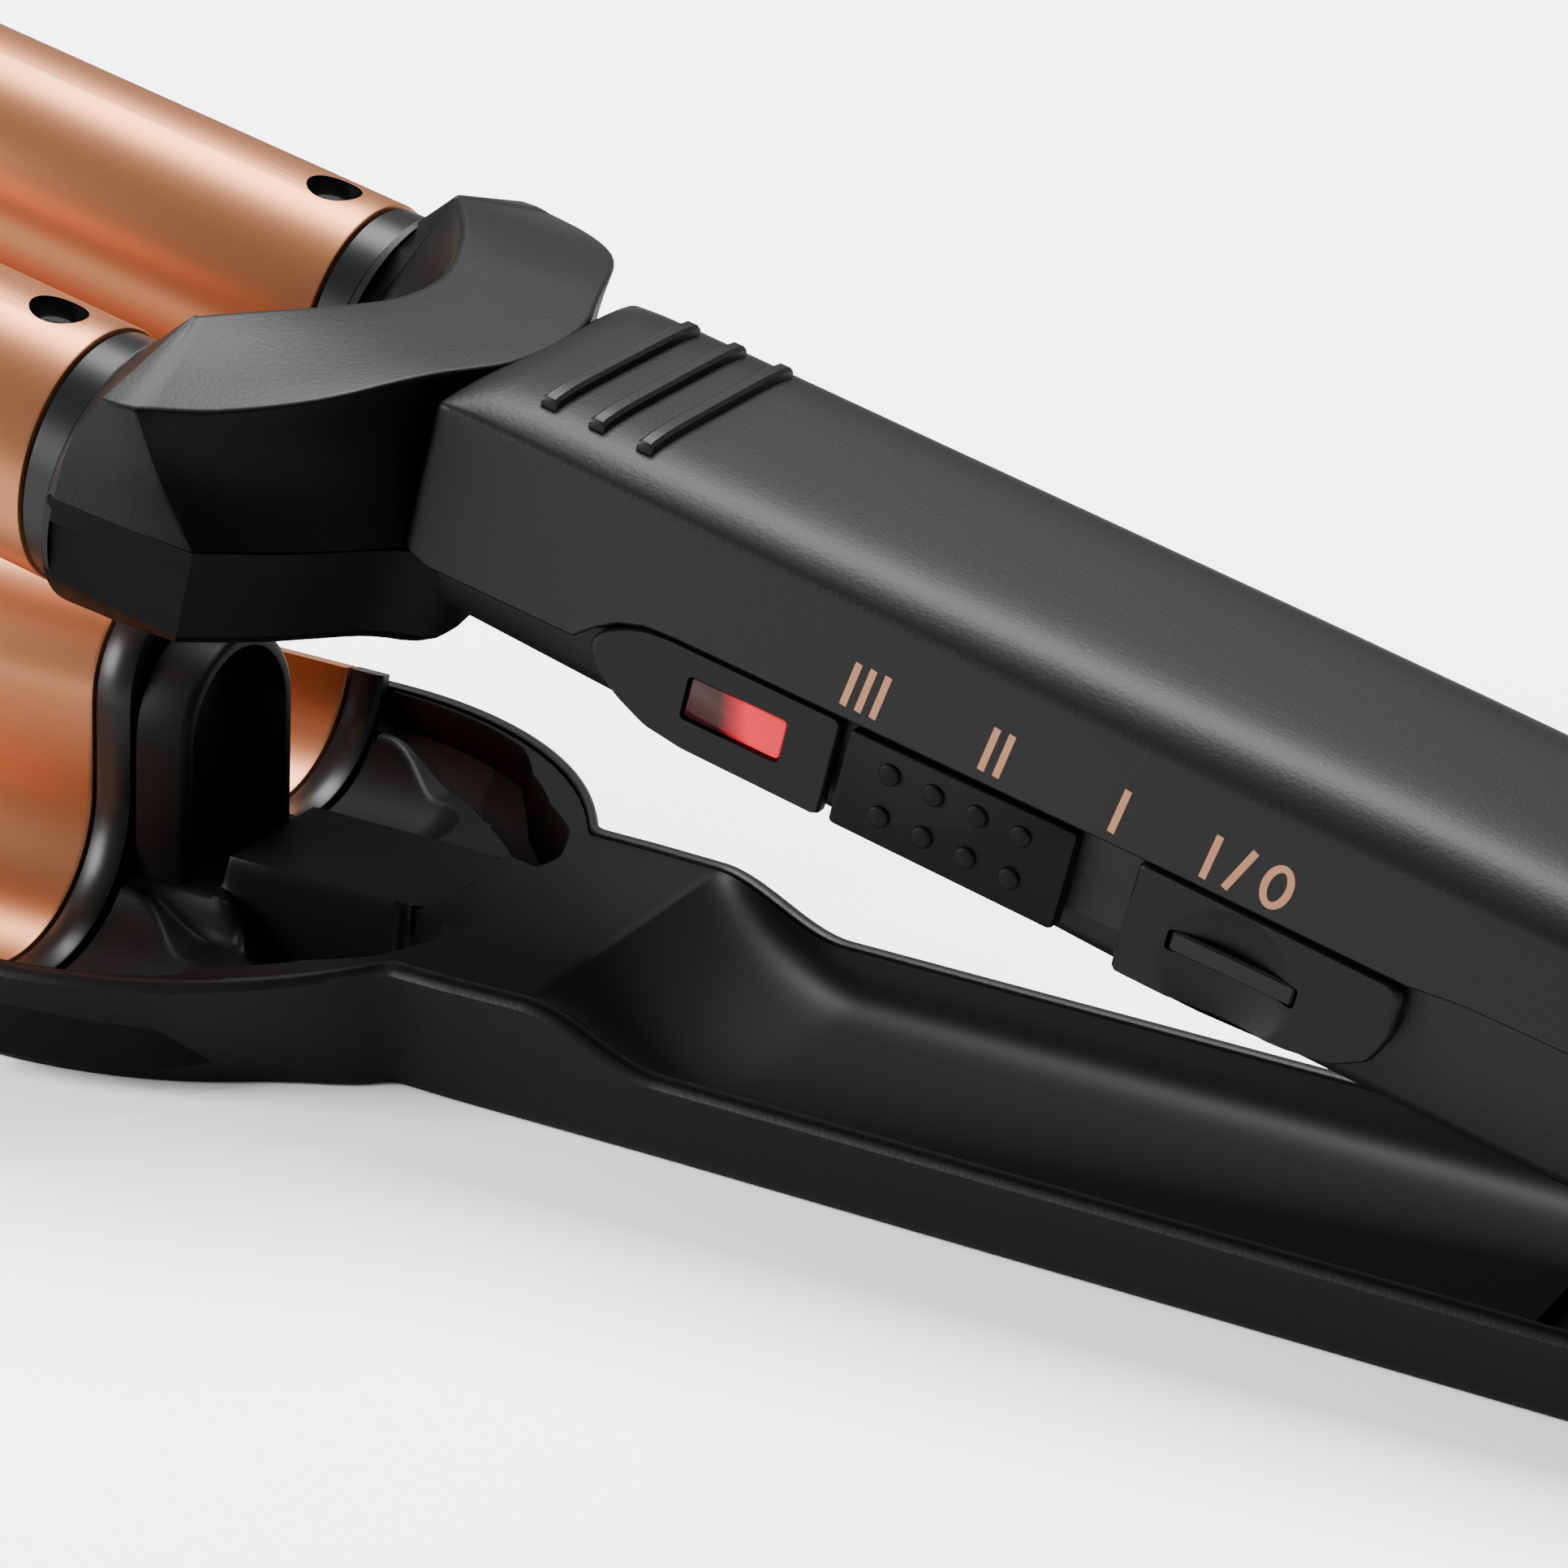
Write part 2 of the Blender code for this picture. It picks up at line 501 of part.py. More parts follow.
def under_shell():
    stops = [26.0, 41.0, 46.0, 90.0, 107.0, 131.0, HANDLE_REAR_U - 12, HANDLE_REAR_U - 0.5]
    shell = loft("under_shell", [under_ring(u) for u in stops], BLACK, ARM)
    bridge = [[(u, -9.6, low), (u, 9.6, low), (u, 9.6, split_line(u) - 0.1), (u, -9.6, split_line(u) - 0.1)]
              for u, low in ((12.6, -2.6), (23.6, -3.5), (24.0, -3.5), (27.5, -3.5))]
    boolean(shell, loft("bridge", bridge, BLACK, ARM, True), "UNION")
    for side in (-1, 1):
        rings = [belly_ring(u, side * c, h, d) for u, c, h, d in BELLY]
        boolean(shell, loft(f"belly_{side}", rings, BLACK, ARM, True), "UNION")
    for side in (-1, 1):
        rings = [belly_ring(u, side * c, h, d, 2.0, 3.0) for u, c, h, d in BELLY[1:5]]
        boolean(shell, loft(f"belly_hollow_{side}", rings, BLACK, ARM, True))
        centre = side * BARREL_PITCH / 2
        bore = rod(f"spigot_bore_low_{side}", (-2, centre, 0), (9, centre, 0), SPIGOT_R + FIT, BLACK, ARM,
                   True, sides=32)
        boolean(shell, bore)
    boolean(shell, box("bridge_hollow", (16.0, -8.5, -1.2), (44.0, 8.5, SEAM_W + 6), BLACK, ARM, True))
    slot = box("hinge_slot", (LINER_REAR_X + 4, -11.6, -14), (HANDLE_REAR_U - 3, 11.6, 0.0), BLACK, ARM, True)
    boolean(shell, slot)
    window = box("panel_window", (LAMP_PANEL_FRONT_U + 6, -20, PAD_BOTTOM_W + 1.0),
                 (REAR_PANEL_REAR_U - 3, -UNDER_FOOT + 2.0, SHELL_EDGE_W + 1), BLACK, ARM, True)
    boolean(shell, window)
    pocket = box("panel_pocket", (LAMP_PANEL_FRONT_U - FIT, -20, -12),
                 (REAR_PANEL_REAR_U + FIT, -PANEL_BACK_V + FIT, SHELL_EDGE_W + 2), BLACK, ARM, True)
    boolean(shell, pocket)
    pin = rod("pin_hole_upper", (HINGE_U, -30, HINGE_W), (HINGE_U, 30, HINGE_W), PIN_R + FIT, BLACK,
              ARM, True)
    boolean(shell, pin)
    return shell


def barrels():
    pitch = BARREL_PITCH / 2
    for side, name in ((-1, "near"), (1, "far")):
        v = side * pitch

        def ring(radius, u, slope):
            return [(u - slope * math.cos(a), v + radius * math.sin(a), radius * math.cos(a))
                    for a in (2 * math.pi * k / 48 for k in range(48))]

        inner = BARREL_R - BARREL_WALL
        rings = [ring(BARREL_R, BARREL_TIP_U, 0), ring(BARREL_R, BARREL_END_U, BARREL_CUT),
                 ring(inner, BARREL_END_U, BARREL_CUT), ring(inner, BARREL_TIP_U, 0)]
        tube = loft(f"{name}_barrel", rings, COPPER, ARM, closed=True)
        hole = rod(f"{name}_screw_hole", (SCREW_U, v, 6), (SCREW_U, v, 14), SCREW_HOLE_R, STEEL, ARM, True)
        boolean(tube, hole)
        rod(f"{name}_barrel_screw", (SCREW_U, v, 7.9), (SCREW_U, v, BARREL_R - BARREL_WALL + 0.2), 2.1,
            STEEL, ARM, sides=20)
        spigot = SPIGOT_R
        sleeve = inner - FIT
        collar = [ring(sleeve, -14.0, 0), ring(sleeve, BARREL_END_U + FIT, BARREL_CUT),
                  ring(COLLAR_R, BARREL_END_U + FIT, BARREL_CUT), ring(COLLAR_R, 0.0, 0),
                  ring(spigot, 0.0, 0), ring(spigot, 8.0, 0), ring(spigot - 1.6, 8.0, 0),
                  ring(spigot - 1.6, -14.0, 0)]
        body = loft(f"{name}_collar", collar, SATIN, ARM, closed=True)
        hole = rod(f"{name}_collar_hole", (SCREW_U, v, 5), (SCREW_U, v, 14), 2.1 + FIT, STEEL, ARM, True)
        boolean(body, hole)
        tip = BARREL_TIP_U
        turned(f"{name}_barrel_cap", [(tip - CAP_LENGTH, BARREL_R - 5.0), (tip - CAP_LENGTH + 0.9, BARREL_R - 2.6),
                                      (tip - 3.0, BARREL_R - 0.8), (tip - FIT, BARREL_R - FIT)],
               (0, v, 0), SATIN, ARM)
        box(f"{name}_heater", (tip + 18, v - 4.0, -3.5), (tip + 92, v + 4.0, 3.5), CERAMIC, ARM)


def panel(name, outline, mat, face, back):
    """A flat panel on the control side, its outline given as (u, w) points."""
    return loft(name, [[(u, -v, w) for u, w in outline] for v in (face, back)], mat, ARM)


def controls():
    top = SHELL_EDGE_W - FIT
    front, rear = LAMP_PANEL_FRONT_U, LAMP_PANEL_REAR_U
    leaf = [(rear, top), (front + 4.2, top), (front + 2.0, 3.2), (front, 1.2), (front + 1.4, -1.0),
            (front + 4.6, -2.8), (front + 10.0, -4.0), (rear, -4.2)]
    back = PANEL_BACK_V
    lamp_panel = panel("lamp_panel", leaf, BLACK, PANEL_FACE_V, back)
    hole = box("lamp_hole", (LAMP_U - LAMP_LONG / 2, -20, LAMP_W - LAMP_HIGH / 2),
               (LAMP_U + LAMP_LONG / 2, -8, LAMP_W + LAMP_HIGH / 2), RED, ARM, True)
    boolean(lamp_panel, hole)
    reach = [LAMP_LONG / 2 - FIT, LAMP_HIGH / 2 - FIT]
    box("lamp_lens", (LAMP_U - reach[0], -PANEL_FACE_V + 0.25, LAMP_W - reach[1]),
        (LAMP_U + reach[0], -back + 1.0, LAMP_W + reach[1]), RED, ARM, bevel=0.2)
    rod("indicator_led", (LAMP_U + 2, -back + 1.4, LAMP_W), (LAMP_U + 2, -back + 4.0, LAMP_W), 1.5,
        CERAMIC, ARM, sides=16)

    front, rear = REAR_PANEL_FRONT_U, REAR_PANEL_REAR_U
    tail = [(front, top), (front, -5.2), (rear - 7.0, -5.6), (rear - 2.6, -5.0), (rear - 0.8, -3.2),
            (rear, 2.2), (rear - 0.6, 3.6), (rear - 2.0, top)]
    rear_panel = panel("rear_panel", tail, BLACK, PANEL_FACE_V, back)
    dish = bmesh.new()
    bmesh.ops.create_uvsphere(dish, u_segments=32, v_segments=16, radius=12.0)
    bmesh.ops.translate(dish, vec=(KEY_U - 0.2, -PANEL_FACE_V - 12.0 + 0.95, KEY_W - 0.6), verts=dish.verts)
    boolean(rear_panel, mesh_object("finger_dish", dish, BLACK, ARM, True))
    slot = box("key_slot", (KEY_U - KEY_LONG / 2 - FIT, -20, KEY_W - KEY_HIGH / 2 - FIT),
               (KEY_U + KEY_LONG / 2 + FIT, -8, KEY_W + KEY_HIGH / 2 + FIT), BLACK, ARM, True)
    boolean(rear_panel, slot)
    box("power_key", (KEY_U - KEY_LONG / 2, -PANEL_FACE_V + 0.1, KEY_W - KEY_HIGH / 2),
        (KEY_U + KEY_LONG / 2, -back + 1.6, KEY_W + KEY_HIGH / 2), BLACK, ARM, bevel=0.2)
    box("power_switch", (KEY_U - 3, -back + 3.2, KEY_W - 2.4), (KEY_U + 3, -back + 6.6, KEY_W + 2.4),
        BLACK, ARM)

    pad = box("heat_slider", (PAD_FRONT_U, -PANEL_FACE_V, PAD_BOTTOM_W), (PAD_REAR_U, -back - 0.35, PAD_TOP_W),
              BLACK, ARM, bevel=0.25)
    for k in range(8):
        u, w = 70.2 + 3.97 * (k % 4), 2.05 - 3.85 * (k // 4)
        dot = rod(f"dot_{k}", (u, -PANEL_FACE_V - 0.35, w), (u, -PANEL_FACE_V + 0.3, w), 0.9, BLACK,
                  ARM, True, 16)
        boolean(pad, dot, "UNION")
    stem = box("slider_stem", (PAD_FRONT_U + 6, -back - 0.5, -0.9), (PAD_FRONT_U + 9, -back + 3.4, 0.9),
               BLACK, ARM, True)
    boolean(pad, stem, "UNION")
    start, stop = LAMP_PANEL_REAR_U + FIT, REAR_PANEL_FRONT_U - FIT
    track = box("slider_track", (start, -back, PAD_BOTTOM_W + 1.3), (stop, -back + 1.2, top - 0.2),
                BLACK, ARM)
    groove = box("track_slot", (PAD_FRONT_U + 5.5, -20, -1.4), (PAD_FRONT_U + 9.5 + PAD_TRAVEL, -5, 1.4),
                 BLACK, ARM, True)
    boolean(track, groove)
    box("slide_switch", (PAD_FRONT_U + 2, -back + 3.9, -0.9), (PAD_REAR_U - 2, -back + 8.0, 3.8), STEEL,
        ARM)
    box("circuit_board", (48, -6.0, 5.2), (116, HANDLE_HALF - 3.4, 6.6), BOARD, ARM)
    box("board_capacitor", (98, -2, 6.9), (112, 6, 12.0), RED, ARM)


def rear_end():
    u = HANDLE_REAR_U
    half = handle_half(u)
    near = [(half - 2, under_depth(u) + 0.6), (half, -1.0), (half, crease(u) - 0.5),
            (half / 2, crown(u, half / 2) - 0.4)]
    ring = [(-v, w) for v, w in near] + near[::-1]
    rings = [[(u + FIT + d, v * k, 3.0 + (w - 3.0) * k) for v, w in ring]
             for d, k in ((0, 1.0), (4.0, 0.96), (6.5, 0.8))]
    cap = loft("rear_cap", rings, BLACK, ARM)
    bore = rod("gland_bore", (u - 4, 0, 3.0), (u + 12, 0, 3.0), 4.6, BLACK, ARM, True, 32)
    boolean(cap, bore)
    turned("cord_gland", [(u - 1.0, 4.2), (u + 7.4, 4.2), (u + 8.0, 5.4), (u + 13.0, 4.8), (u + 14.0, 4.0)],
           (0, 0, 3.0), RUBBER, ARM, sides=28)


lower_shell()
wave_jaw()
lower_liner()
hinge()
upper_shell()
under_shell()
barrels()
controls()
rear_end()
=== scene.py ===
# %% [markdown]
# # Deep-wave hair crimper
# Two copper barrels on a sprung upper arm, open over a copper wave plate. The black mouldings are
# smooth surfaces; the small and hidden pieces keep their plain solids. Lengths below are in
# millimetres. Upper-arm pieces are written in the arm's own frame: u back from the collars' rear
# face, v across, w up from the barrel axes.

# %%
import math

import bpy
import numpy as np
from mathutils import Matrix, Vector
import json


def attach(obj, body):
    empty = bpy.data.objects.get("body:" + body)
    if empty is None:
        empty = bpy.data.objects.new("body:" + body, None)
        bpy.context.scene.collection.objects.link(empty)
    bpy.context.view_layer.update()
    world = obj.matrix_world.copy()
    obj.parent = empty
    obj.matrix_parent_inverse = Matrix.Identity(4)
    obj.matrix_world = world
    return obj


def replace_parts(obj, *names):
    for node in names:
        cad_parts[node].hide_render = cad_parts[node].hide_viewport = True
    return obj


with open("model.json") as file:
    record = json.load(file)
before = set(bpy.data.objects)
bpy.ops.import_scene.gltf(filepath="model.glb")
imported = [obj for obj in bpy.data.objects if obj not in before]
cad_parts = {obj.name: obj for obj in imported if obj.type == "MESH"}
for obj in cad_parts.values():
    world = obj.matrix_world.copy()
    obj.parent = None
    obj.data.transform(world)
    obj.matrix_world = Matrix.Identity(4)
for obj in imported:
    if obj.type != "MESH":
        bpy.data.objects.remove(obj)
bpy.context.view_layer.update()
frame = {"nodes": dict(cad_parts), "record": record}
NODES = frame["nodes"]
MM = 0.001

# %% [markdown]
# ## Sizes

# %%
OPEN = math.radians(11.58)            # how far the arms stand open
HINGE_X, HINGE_Z = 171.9, 11.1
HINGE_U, HINGE_W = 176.5, -5.0
BARREL_R = 11.0
PITCH = 41.4                          # between the barrel axes
BARREL_TIP = -118.0                   # u of the barrels' free ends
HANDLE_HALF = 15.6
SEAM_W = 1.8                          # split line between the fork's two halves
FLANGE_R = 11.75                      # round flange behind each collar
PANEL_V = 15.9                        # outer face of the control panels
PAN_R = 36.6                          # the pan's round end, about (PAN_X, 0)
PAN_X = -8.0
RIB_TOP = 11.9                        # flat top of the pan's central rib
SLOT_R = 29.5                         # inner edge of the slot about the pan's middle
LINER_INSET = 2.05                    # the liner stands this far inside the tray's plan
SCOOP_R = 12.2                        # half-pipes that carry the troughs on
TROUGH_R = 11.6
RIDGE_Z = 24.0                        # centre of the wave plate's round ridge
AXIS_Z = 16.1                         # height of the barrel axes when the arms are shut


# %% [markdown]
# ## Tools for surfaces

# %%
def arm(points):
    """Arm-frame (u, v, w) to the row frame: turned down toward the hinge by the opening angle about Y,
    so x = hinge + (u - hu) cos + (w - hw) sin and z = hinge - (u - hu) sin + (w - hw) cos."""
    p = np.asarray(points, float)
    du, dw = p[..., 0] - HINGE_U, p[..., 2] - HINGE_W
    x = HINGE_X + du * math.cos(OPEN) + dw * math.sin(OPEN)
    z = HINGE_Z - du * math.sin(OPEN) + dw * math.cos(OPEN)
    return np.stack([x, p[..., 1], z], -1)


def still(points):
    """Lower-arm points are written in the row frame already."""
    return np.asarray(points, float)


def piece(name, points, faces, material, body, to_row=arm, smooth=35):
    """A mesh in metres, shaded smooth up to an angle, riding on its body."""
    mesh = bpy.data.meshes.new(name)
    mesh.from_pydata((to_row(points) * MM).tolist(), [], [list(f) for f in faces])
    mesh.validate()
    mesh.shade_smooth()
    mesh.set_sharp_from_angle(angle=math.radians(smooth))
    obj = bpy.data.objects.new(name, mesh)
    bpy.context.scene.collection.objects.link(obj)
    mesh.materials.append(material)
    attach(obj, body)
    return obj


def skin(rows, closed=False, caps=False):
    """Points and quads of a sheet through rows of the same length."""
    rows = np.asarray(rows, float)
    n, m = rows.shape[:2]
    faces = []
    for i in range(n - 1):
        for j in range(m if closed else m - 1):
            k = (j + 1) % m
            faces.append((i * m + j, i * m + k, (i + 1) * m + k, (i + 1) * m + j))
    if caps:
        faces.append(tuple(range(m))[::-1])
        faces.append(tuple((n - 1) * m + j for j in range(m)))
    return rows.reshape(-1, 3), faces


def curve(x, table):
    """Straight interpolation through (x, value) pairs."""
    xs, vs = zip(*table)
    return float(np.interp(x, xs, vs))


def ease(t):
    """Smooth step from 0 to 1."""
    t = np.clip(t, 0.0, 1.0)
    return t * t * (3 - 2 * t)


def rounded(outline, radius, steps=4):
    """A closed outline with each corner replaced by a short arc of about this radius."""
    pts = np.asarray(outline, float)
    out = []
    for i, p in enumerate(pts):
        a, b = pts[i - 1] - p, pts[(i + 1) % len(pts)] - p
        la, lb = np.linalg.norm(a), np.linalg.norm(b)
        r = min(radius, 0.45 * la, 0.45 * lb)
        start, end = p + a / la * r, p + b / lb * r
        for t in np.linspace(0, 1, steps + 1):
            out.append((1 - t) ** 2 * start + 2 * t * (1 - t) * p + t ** 2 * end)
    return np.array(out)


# %% [markdown]
# ## Materials

# %%
def srgb(hex_rgb):
    """Display hex colour to linear RGBA."""
    channels = [int(hex_rgb[i:i + 2], 16) / 255 for i in (0, 2, 4)]
    return [c / 12.92 if c <= 0.04045 else ((c + 0.055) / 1.055) ** 2.4 for c in channels] + [1.0]


def add(tree, kind, inputs=(), **settings):
    """One node: settings are its own fields, inputs are values or sockets to link."""
    node = tree.nodes.new(kind)
    for field, value in settings.items():
        setattr(node, field, value)
    for name, value in dict(inputs).items():
        if isinstance(value, bpy.types.NodeSocket):
            tree.links.new(value, node.inputs[name])
        else:
            node.inputs[name].default_value = value
    return node


def surface(name, color, roughness, metallic=0.0, **more):
    """A Principled material and its shader node."""
    mat = bpy.data.materials.new(name)
    mat.use_nodes = True
    shader = mat.node_tree.nodes["Principled BSDF"]
    shader.inputs["Base Color"].default_value = srgb(color)
    shader.inputs["Roughness"].default_value = roughness
    shader.inputs["Metallic"].default_value = metallic
    for key, value in more.items():
        shader.inputs[key.replace("_", " ")].default_value = value
    return mat, shader


def grained(name, color, roughness, grain, depth, sheen=0.5):
    """Moulded plastic with a fine spark-eroded texture; grain is its scale, depth its strength."""
    mat, shader = surface(name, color, roughness, Specular_IOR_Level=sheen)
    tree = mat.node_tree
    where = add(tree, "ShaderNodeTexCoord")
    noise = add(tree, "ShaderNodeTexNoise",
                {"Vector": where.outputs["Object"], "Scale": grain, "Detail": 2.0})
    bump = add(tree, "ShaderNodeBump",
               {"Height": noise.outputs["Fac"], "Strength": depth, "Distance": 0.0001})
    tree.links.new(bump.outputs["Normal"], shader.inputs["Normal"])
    return mat


# Mouldings: satin textured shells, smoother heat-proof collars, and duller blacks for the inset fascias,
# the slider's grip pad and the tray's inside. The fork's hollow flanks and underside get a darker, less
# glossy black that is painted shade.
SHELL = grained("textured_black_abs", "0f1011", 0.46, 2600.0, 0.25, 0.35)
COLLAR = grained("smooth_black_resin", "121416", 0.34, 1200.0, 0.06, 0.4)
PAINTED_SHADE_BLACK = grained("black_flank_painted_shade", "060607", 0.5, 1800.0, 0.2, 0.12)
FASCIA = grained("fine_black_fascia", "0d0e0f", 0.46, 2600.0, 0.2, 0.27)
GRIP = grained("matt_black_grip", "0a0b0c", 0.5, 2200.0, 0.2, 0.16)
INSIDE = grained("plain_black_tray", "0a0b0b", 0.46, 1500.0, 0.05, 0.15)
# Barrels and wave plate: a rose-copper ceramic coat. The scale marks are printed in a duller copper.
COPPER = surface("rose_copper_ceramic_coat", "d18b62", 0.38, 0.85)[0]
PRINT = surface("copper_pad_print", "c58a68", 0.5, 0.3)[0]
LENS, lens_shader = surface("clear_red_lens", "7a0d18", 0.14)
# The window's rear half glows bright red, its emission ramping up along the window; the rest shows dark
# red.
place = add(LENS.node_tree, "ShaderNodeTexCoord")
along = add(LENS.node_tree, "ShaderNodeSeparateXYZ", {"Vector": place.outputs["Object"]})
glow = add(LENS.node_tree, "ShaderNodeMapRange",
           {"Value": along.outputs["X"], "From Min": 0.0535, "From Max": 0.0562})
tint = add(LENS.node_tree, "ShaderNodeMix", {"Factor": glow.outputs["Result"]}, data_type="RGBA")
tint.inputs["A"].default_value = srgb("3a1012")
tint.inputs["B"].default_value = srgb("d40a26")
LENS.node_tree.links.new(tint.outputs["Result"], lens_shader.inputs["Base Color"])
LENS.node_tree.links.new(tint.outputs["Result"], lens_shader.inputs["Emission Color"])
LENS.node_tree.links.new(glow.outputs["Result"], lens_shader.inputs["Emission Strength"])
STEEL = surface("zinc_plated_steel", "9a9da2", 0.32, 1.0)[0]
RUBBER = surface("black_rubber", "141517", 0.75)[0]
CERAMIC = surface("white_ceramic", "cfcac0", 0.6)[0]
BOARD = surface("green_circuit_board", "1f4a33", 0.5)[0]
SLOT_LOOKS = {"black_shell": SHELL, "satin_collar": COLLAR, "copper_barrel": COPPER, "red_lens": LENS,
              "steel": STEEL, "board": BOARD, "ceramic": CERAMIC, "rubber": RUBBER}

for part in frame["record"]["subparts"]:
    NODES[part["node"]].data.materials.clear()
    NODES[part["node"]].data.materials.append(SLOT_LOOKS[part["material_slot"]])


# %% [markdown]
# ## Upper arm: fork and handle
# The fork is a crescent swept from one prong's end round to the other. Its corner rails are short
# lists of points in the arm's plan; the skin between them is filled in smoothly.

# %%
def through(points, count):
    """A smooth curve through points: each span is a Catmull-Rom cubic, sampled evenly along its length."""
    p = np.asarray(points, float)
    p = np.vstack([2 * p[0] - p[1], p, 2 * p[-1] - p[-2]])
    out = []
    for a, b, c, d in zip(p, p[1:], p[2:], p[3:]):
        for t in np.linspace(0, 1, 16, endpoint=False):
            out.append(0.5 * (2 * b + (c - a) * t + (2 * a - 5 * b + 4 * c - d) * t * t
                              + (3 * b - a - 3 * c + d) * t ** 3))
    out = np.array(out + [p[-2]])
    run = np.concatenate([[0], np.cumsum(np.linalg.norm(np.diff(out, axis=0), axis=1))])
    even = np.linspace(0, run[-1], count)
    return np.stack([np.interp(even, run, out[:, k]) for k in range(out.shape[1])], -1)


def head_top(v):
    """The fork's top facet rolls down toward each prong: 16.2 less 0.011 (|v| - 12) squared past 12."""
    return 16.2 - 0.011 * max(0.0, abs(v) - 12.0) ** 2


INNER_TOP = [(12.5, 0), (11.9, 4.5), (9.2, 11.0), (6.4, 15.8), (3.6, 19.7)]
OUTER_TOP = [(25.6, 0), (25.0, 6.0), (22.9, 11.6), (18.5, 22.0), (12.6, 28.4), (6.4, 31.9)]
OUTER_FOOT = [(26.4, 0), (26.0, 8.0), (23.8, 16.0), (19.0, 24.0), (13.6, 31.2)]
INNER_FOOT = [(11.0, 0), (9.6, 4.4), (6.4, 7.4), (3.4, 8.8), (1.0, 9.1)]


def fork_section(inner, outer, foot, root):
    """Inner foot, inner corner, top facet, outer corner, hollow side wall and outer foot, with
    soft corners."""
    wi, wo = head_top(inner[1]), head_top(outer[1])
    a, b = np.array([*root, SEAM_W]), np.array([*inner, wi])
    c, d = np.array([*outer, wo]), np.array([*foot, SEAM_W])
    line = []
    for p, q, r, soft in ((a, b, c, 0.8), (b, c, d, 0.4)):
        back, fore = (p - q) / np.linalg.norm(p - q), (r - q) / np.linalg.norm(r - q)
        for t in np.linspace(0, 1, 6):
            line.append(q + back * soft * (1 - t) ** 2 + fore * soft * t ** 2)
    inward, hollow = np.array([-0.86, -0.5, 0]), 1.3
    wall = [c + (d - c) * t + inward * hollow * math.sin(math.pi * t) ** 1.2
            for t in np.linspace(0.16, 1, 9)]
    facet = [line[5] + (line[6] - line[5]) * t for t in (0.25, 0.5, 0.75)]
    riser = [a + (line[0] - a) * t for t in (0.0, 0.33, 0.66)]
    return np.array(riser + line[:6] + facet + line[6:] + wall)


def mirrored(half):
    """Sections from the middle out, continued as their mirror image on the other side."""
    other = [s * (1, -1, 1) for s in half[:0:-1]]
    return other + half


def fork_top():
    count = 26
    rails = [through(r, count) for r in (INNER_TOP, OUTER_TOP, OUTER_FOOT, INNER_FOOT)]
    half = [fork_section(*rail) for rail in zip(*rails)]
    # The prong's end: a soft fold, a flat facet, then a narrow chamfer down to the flange's circle.
    fold = half[-1]
    face = fork_section((3.3, 19.9), (3.6, 32.5), (1.2, 33.0), (0.9, 9.0))
    straight = fold + (face - fold) * 0.5
    straight[9:] += (0, 0.25, 0)
    half += [fold + (straight - fold) * 0.08 + (0, 0.1, 0), straight, face]
    rim = face.copy()
    for i, (u, v, w) in enumerate(face):
        out = np.array([v - PITCH / 2, w])
        out *= FLANGE_R / max(FLANGE_R, np.linalg.norm(out))
        rim[i] = (0.35, out[0] + PITCH / 2, max(out[1], SEAM_W))
    half += [face + (rim - face) * 0.12, rim]
    points, faces = skin(mirrored(half), caps=True)
    fork = piece("fork_top", points, faces, SHELL, "upper_arm", smooth=28)
    # The hollow side walls get the darker black, painted shade: their columns are the last ones of each
    # section, and the prongs' end rows keep the shell's finish.
    fork.data.materials.append(PAINTED_SHADE_BLACK)
    columns, wall_start, ends = len(fold), 15, 5
    for face in fork.data.polygons[:-2]:
        row, column = divmod(face.index, columns - 1)
        if column >= wall_start and ends <= row < 2 * len(half) - 2 - ends:
            face.material_index = 1
    return fork


BELLY_FOOT = [(30.2, 0), (30.0, 8.0), (28.4, 13.4), (24.0, 16.4), (19.0, 24.2), (13.6, 31.2)]


def belly_skin():
    """Under half of the fork: a flat band below the split line, a small step, then a deep keel."""
    count = 30
    outer, inner = through(BELLY_FOOT, count), through(INNER_FOOT, count)
    half = []
    for (uo, vo), (ui, vi) in zip(outer, inner):
        low = curve(vo, [(0, -3.2), (8.3, -3.6), (10, -5.6), (12, -8.3), (16, -9.2), (24, -9.6),
                         (31, -9.9)])
        half.append((uo, vo - 0.15, ui, vi, low, 3.4))
    half += [(7.0, 32.0, 2.2, 9.0, -10.9, 2.7), (2.0, 32.5, 1.0, 8.9, -11.7, 2.1),
             (0.35, 32.45, 0.35, 8.95, -11.8, 2.0)]
    rings = []
    for uo, vo, ui, vi, low, power in half:
        a, b = np.array([uo, vo]), np.array([ui, vi])
        top = SEAM_W - 0.22
        step = 0.015 + 0.035 * float(ease((vo - 12.0) / 10.0)) * float(ease((uo - 0.5) / 3.0))
        step += 0.02 * float(ease((vo - 9.0) / 3.0)) * float(ease((20.0 - vo) / 5.0))
        ring = [(*a, top), (*a, top - 1.2), (*a, -0.55), (*(a + (b - a) * step), -0.75)]
        for t in np.linspace(0.0, 1.0, 25)[1:]:
            x = 1 - 2 * (0.012 + 0.988 * t)
            fall = (1 - min(1, abs(x)) ** power) ** (1 / power)
            depth = -0.75 * (1 - t) + (low + 0.75 * (1 - t)) * fall + top * t * (1 - fall)
            u, v = a + (b - a) * (step + (1 - step) * t)
            # The middle is kept shallow: the tray's rib runs under it when the arms are shut.
            depth += max(0.0, -3.7 - depth) * float(ease((8.6 - v) / 1.0))
            ring.append((u, v, depth))
        rings.append(np.array(ring))
    return skin(mirrored(rings), caps=True)


def fork_belly():
    points, faces = belly_skin()
    # The whole underside takes the darker black: painted shade on the fork's downward-facing belly.
    return piece("fork_belly", points, faces, PAINTED_SHADE_BLACK, "upper_arm", smooth=24)


def handle_half(u):
    """Half width of the handle, narrowing toward the cord end."""
    return curve(u, [(90, HANDLE_HALF), (140, 15.0), (178, 14.2), (190, 12.2)])


def crease(u):
    """Height of the edge between the handle's side and its arched back."""
    return 15.6 - 0.021 * u


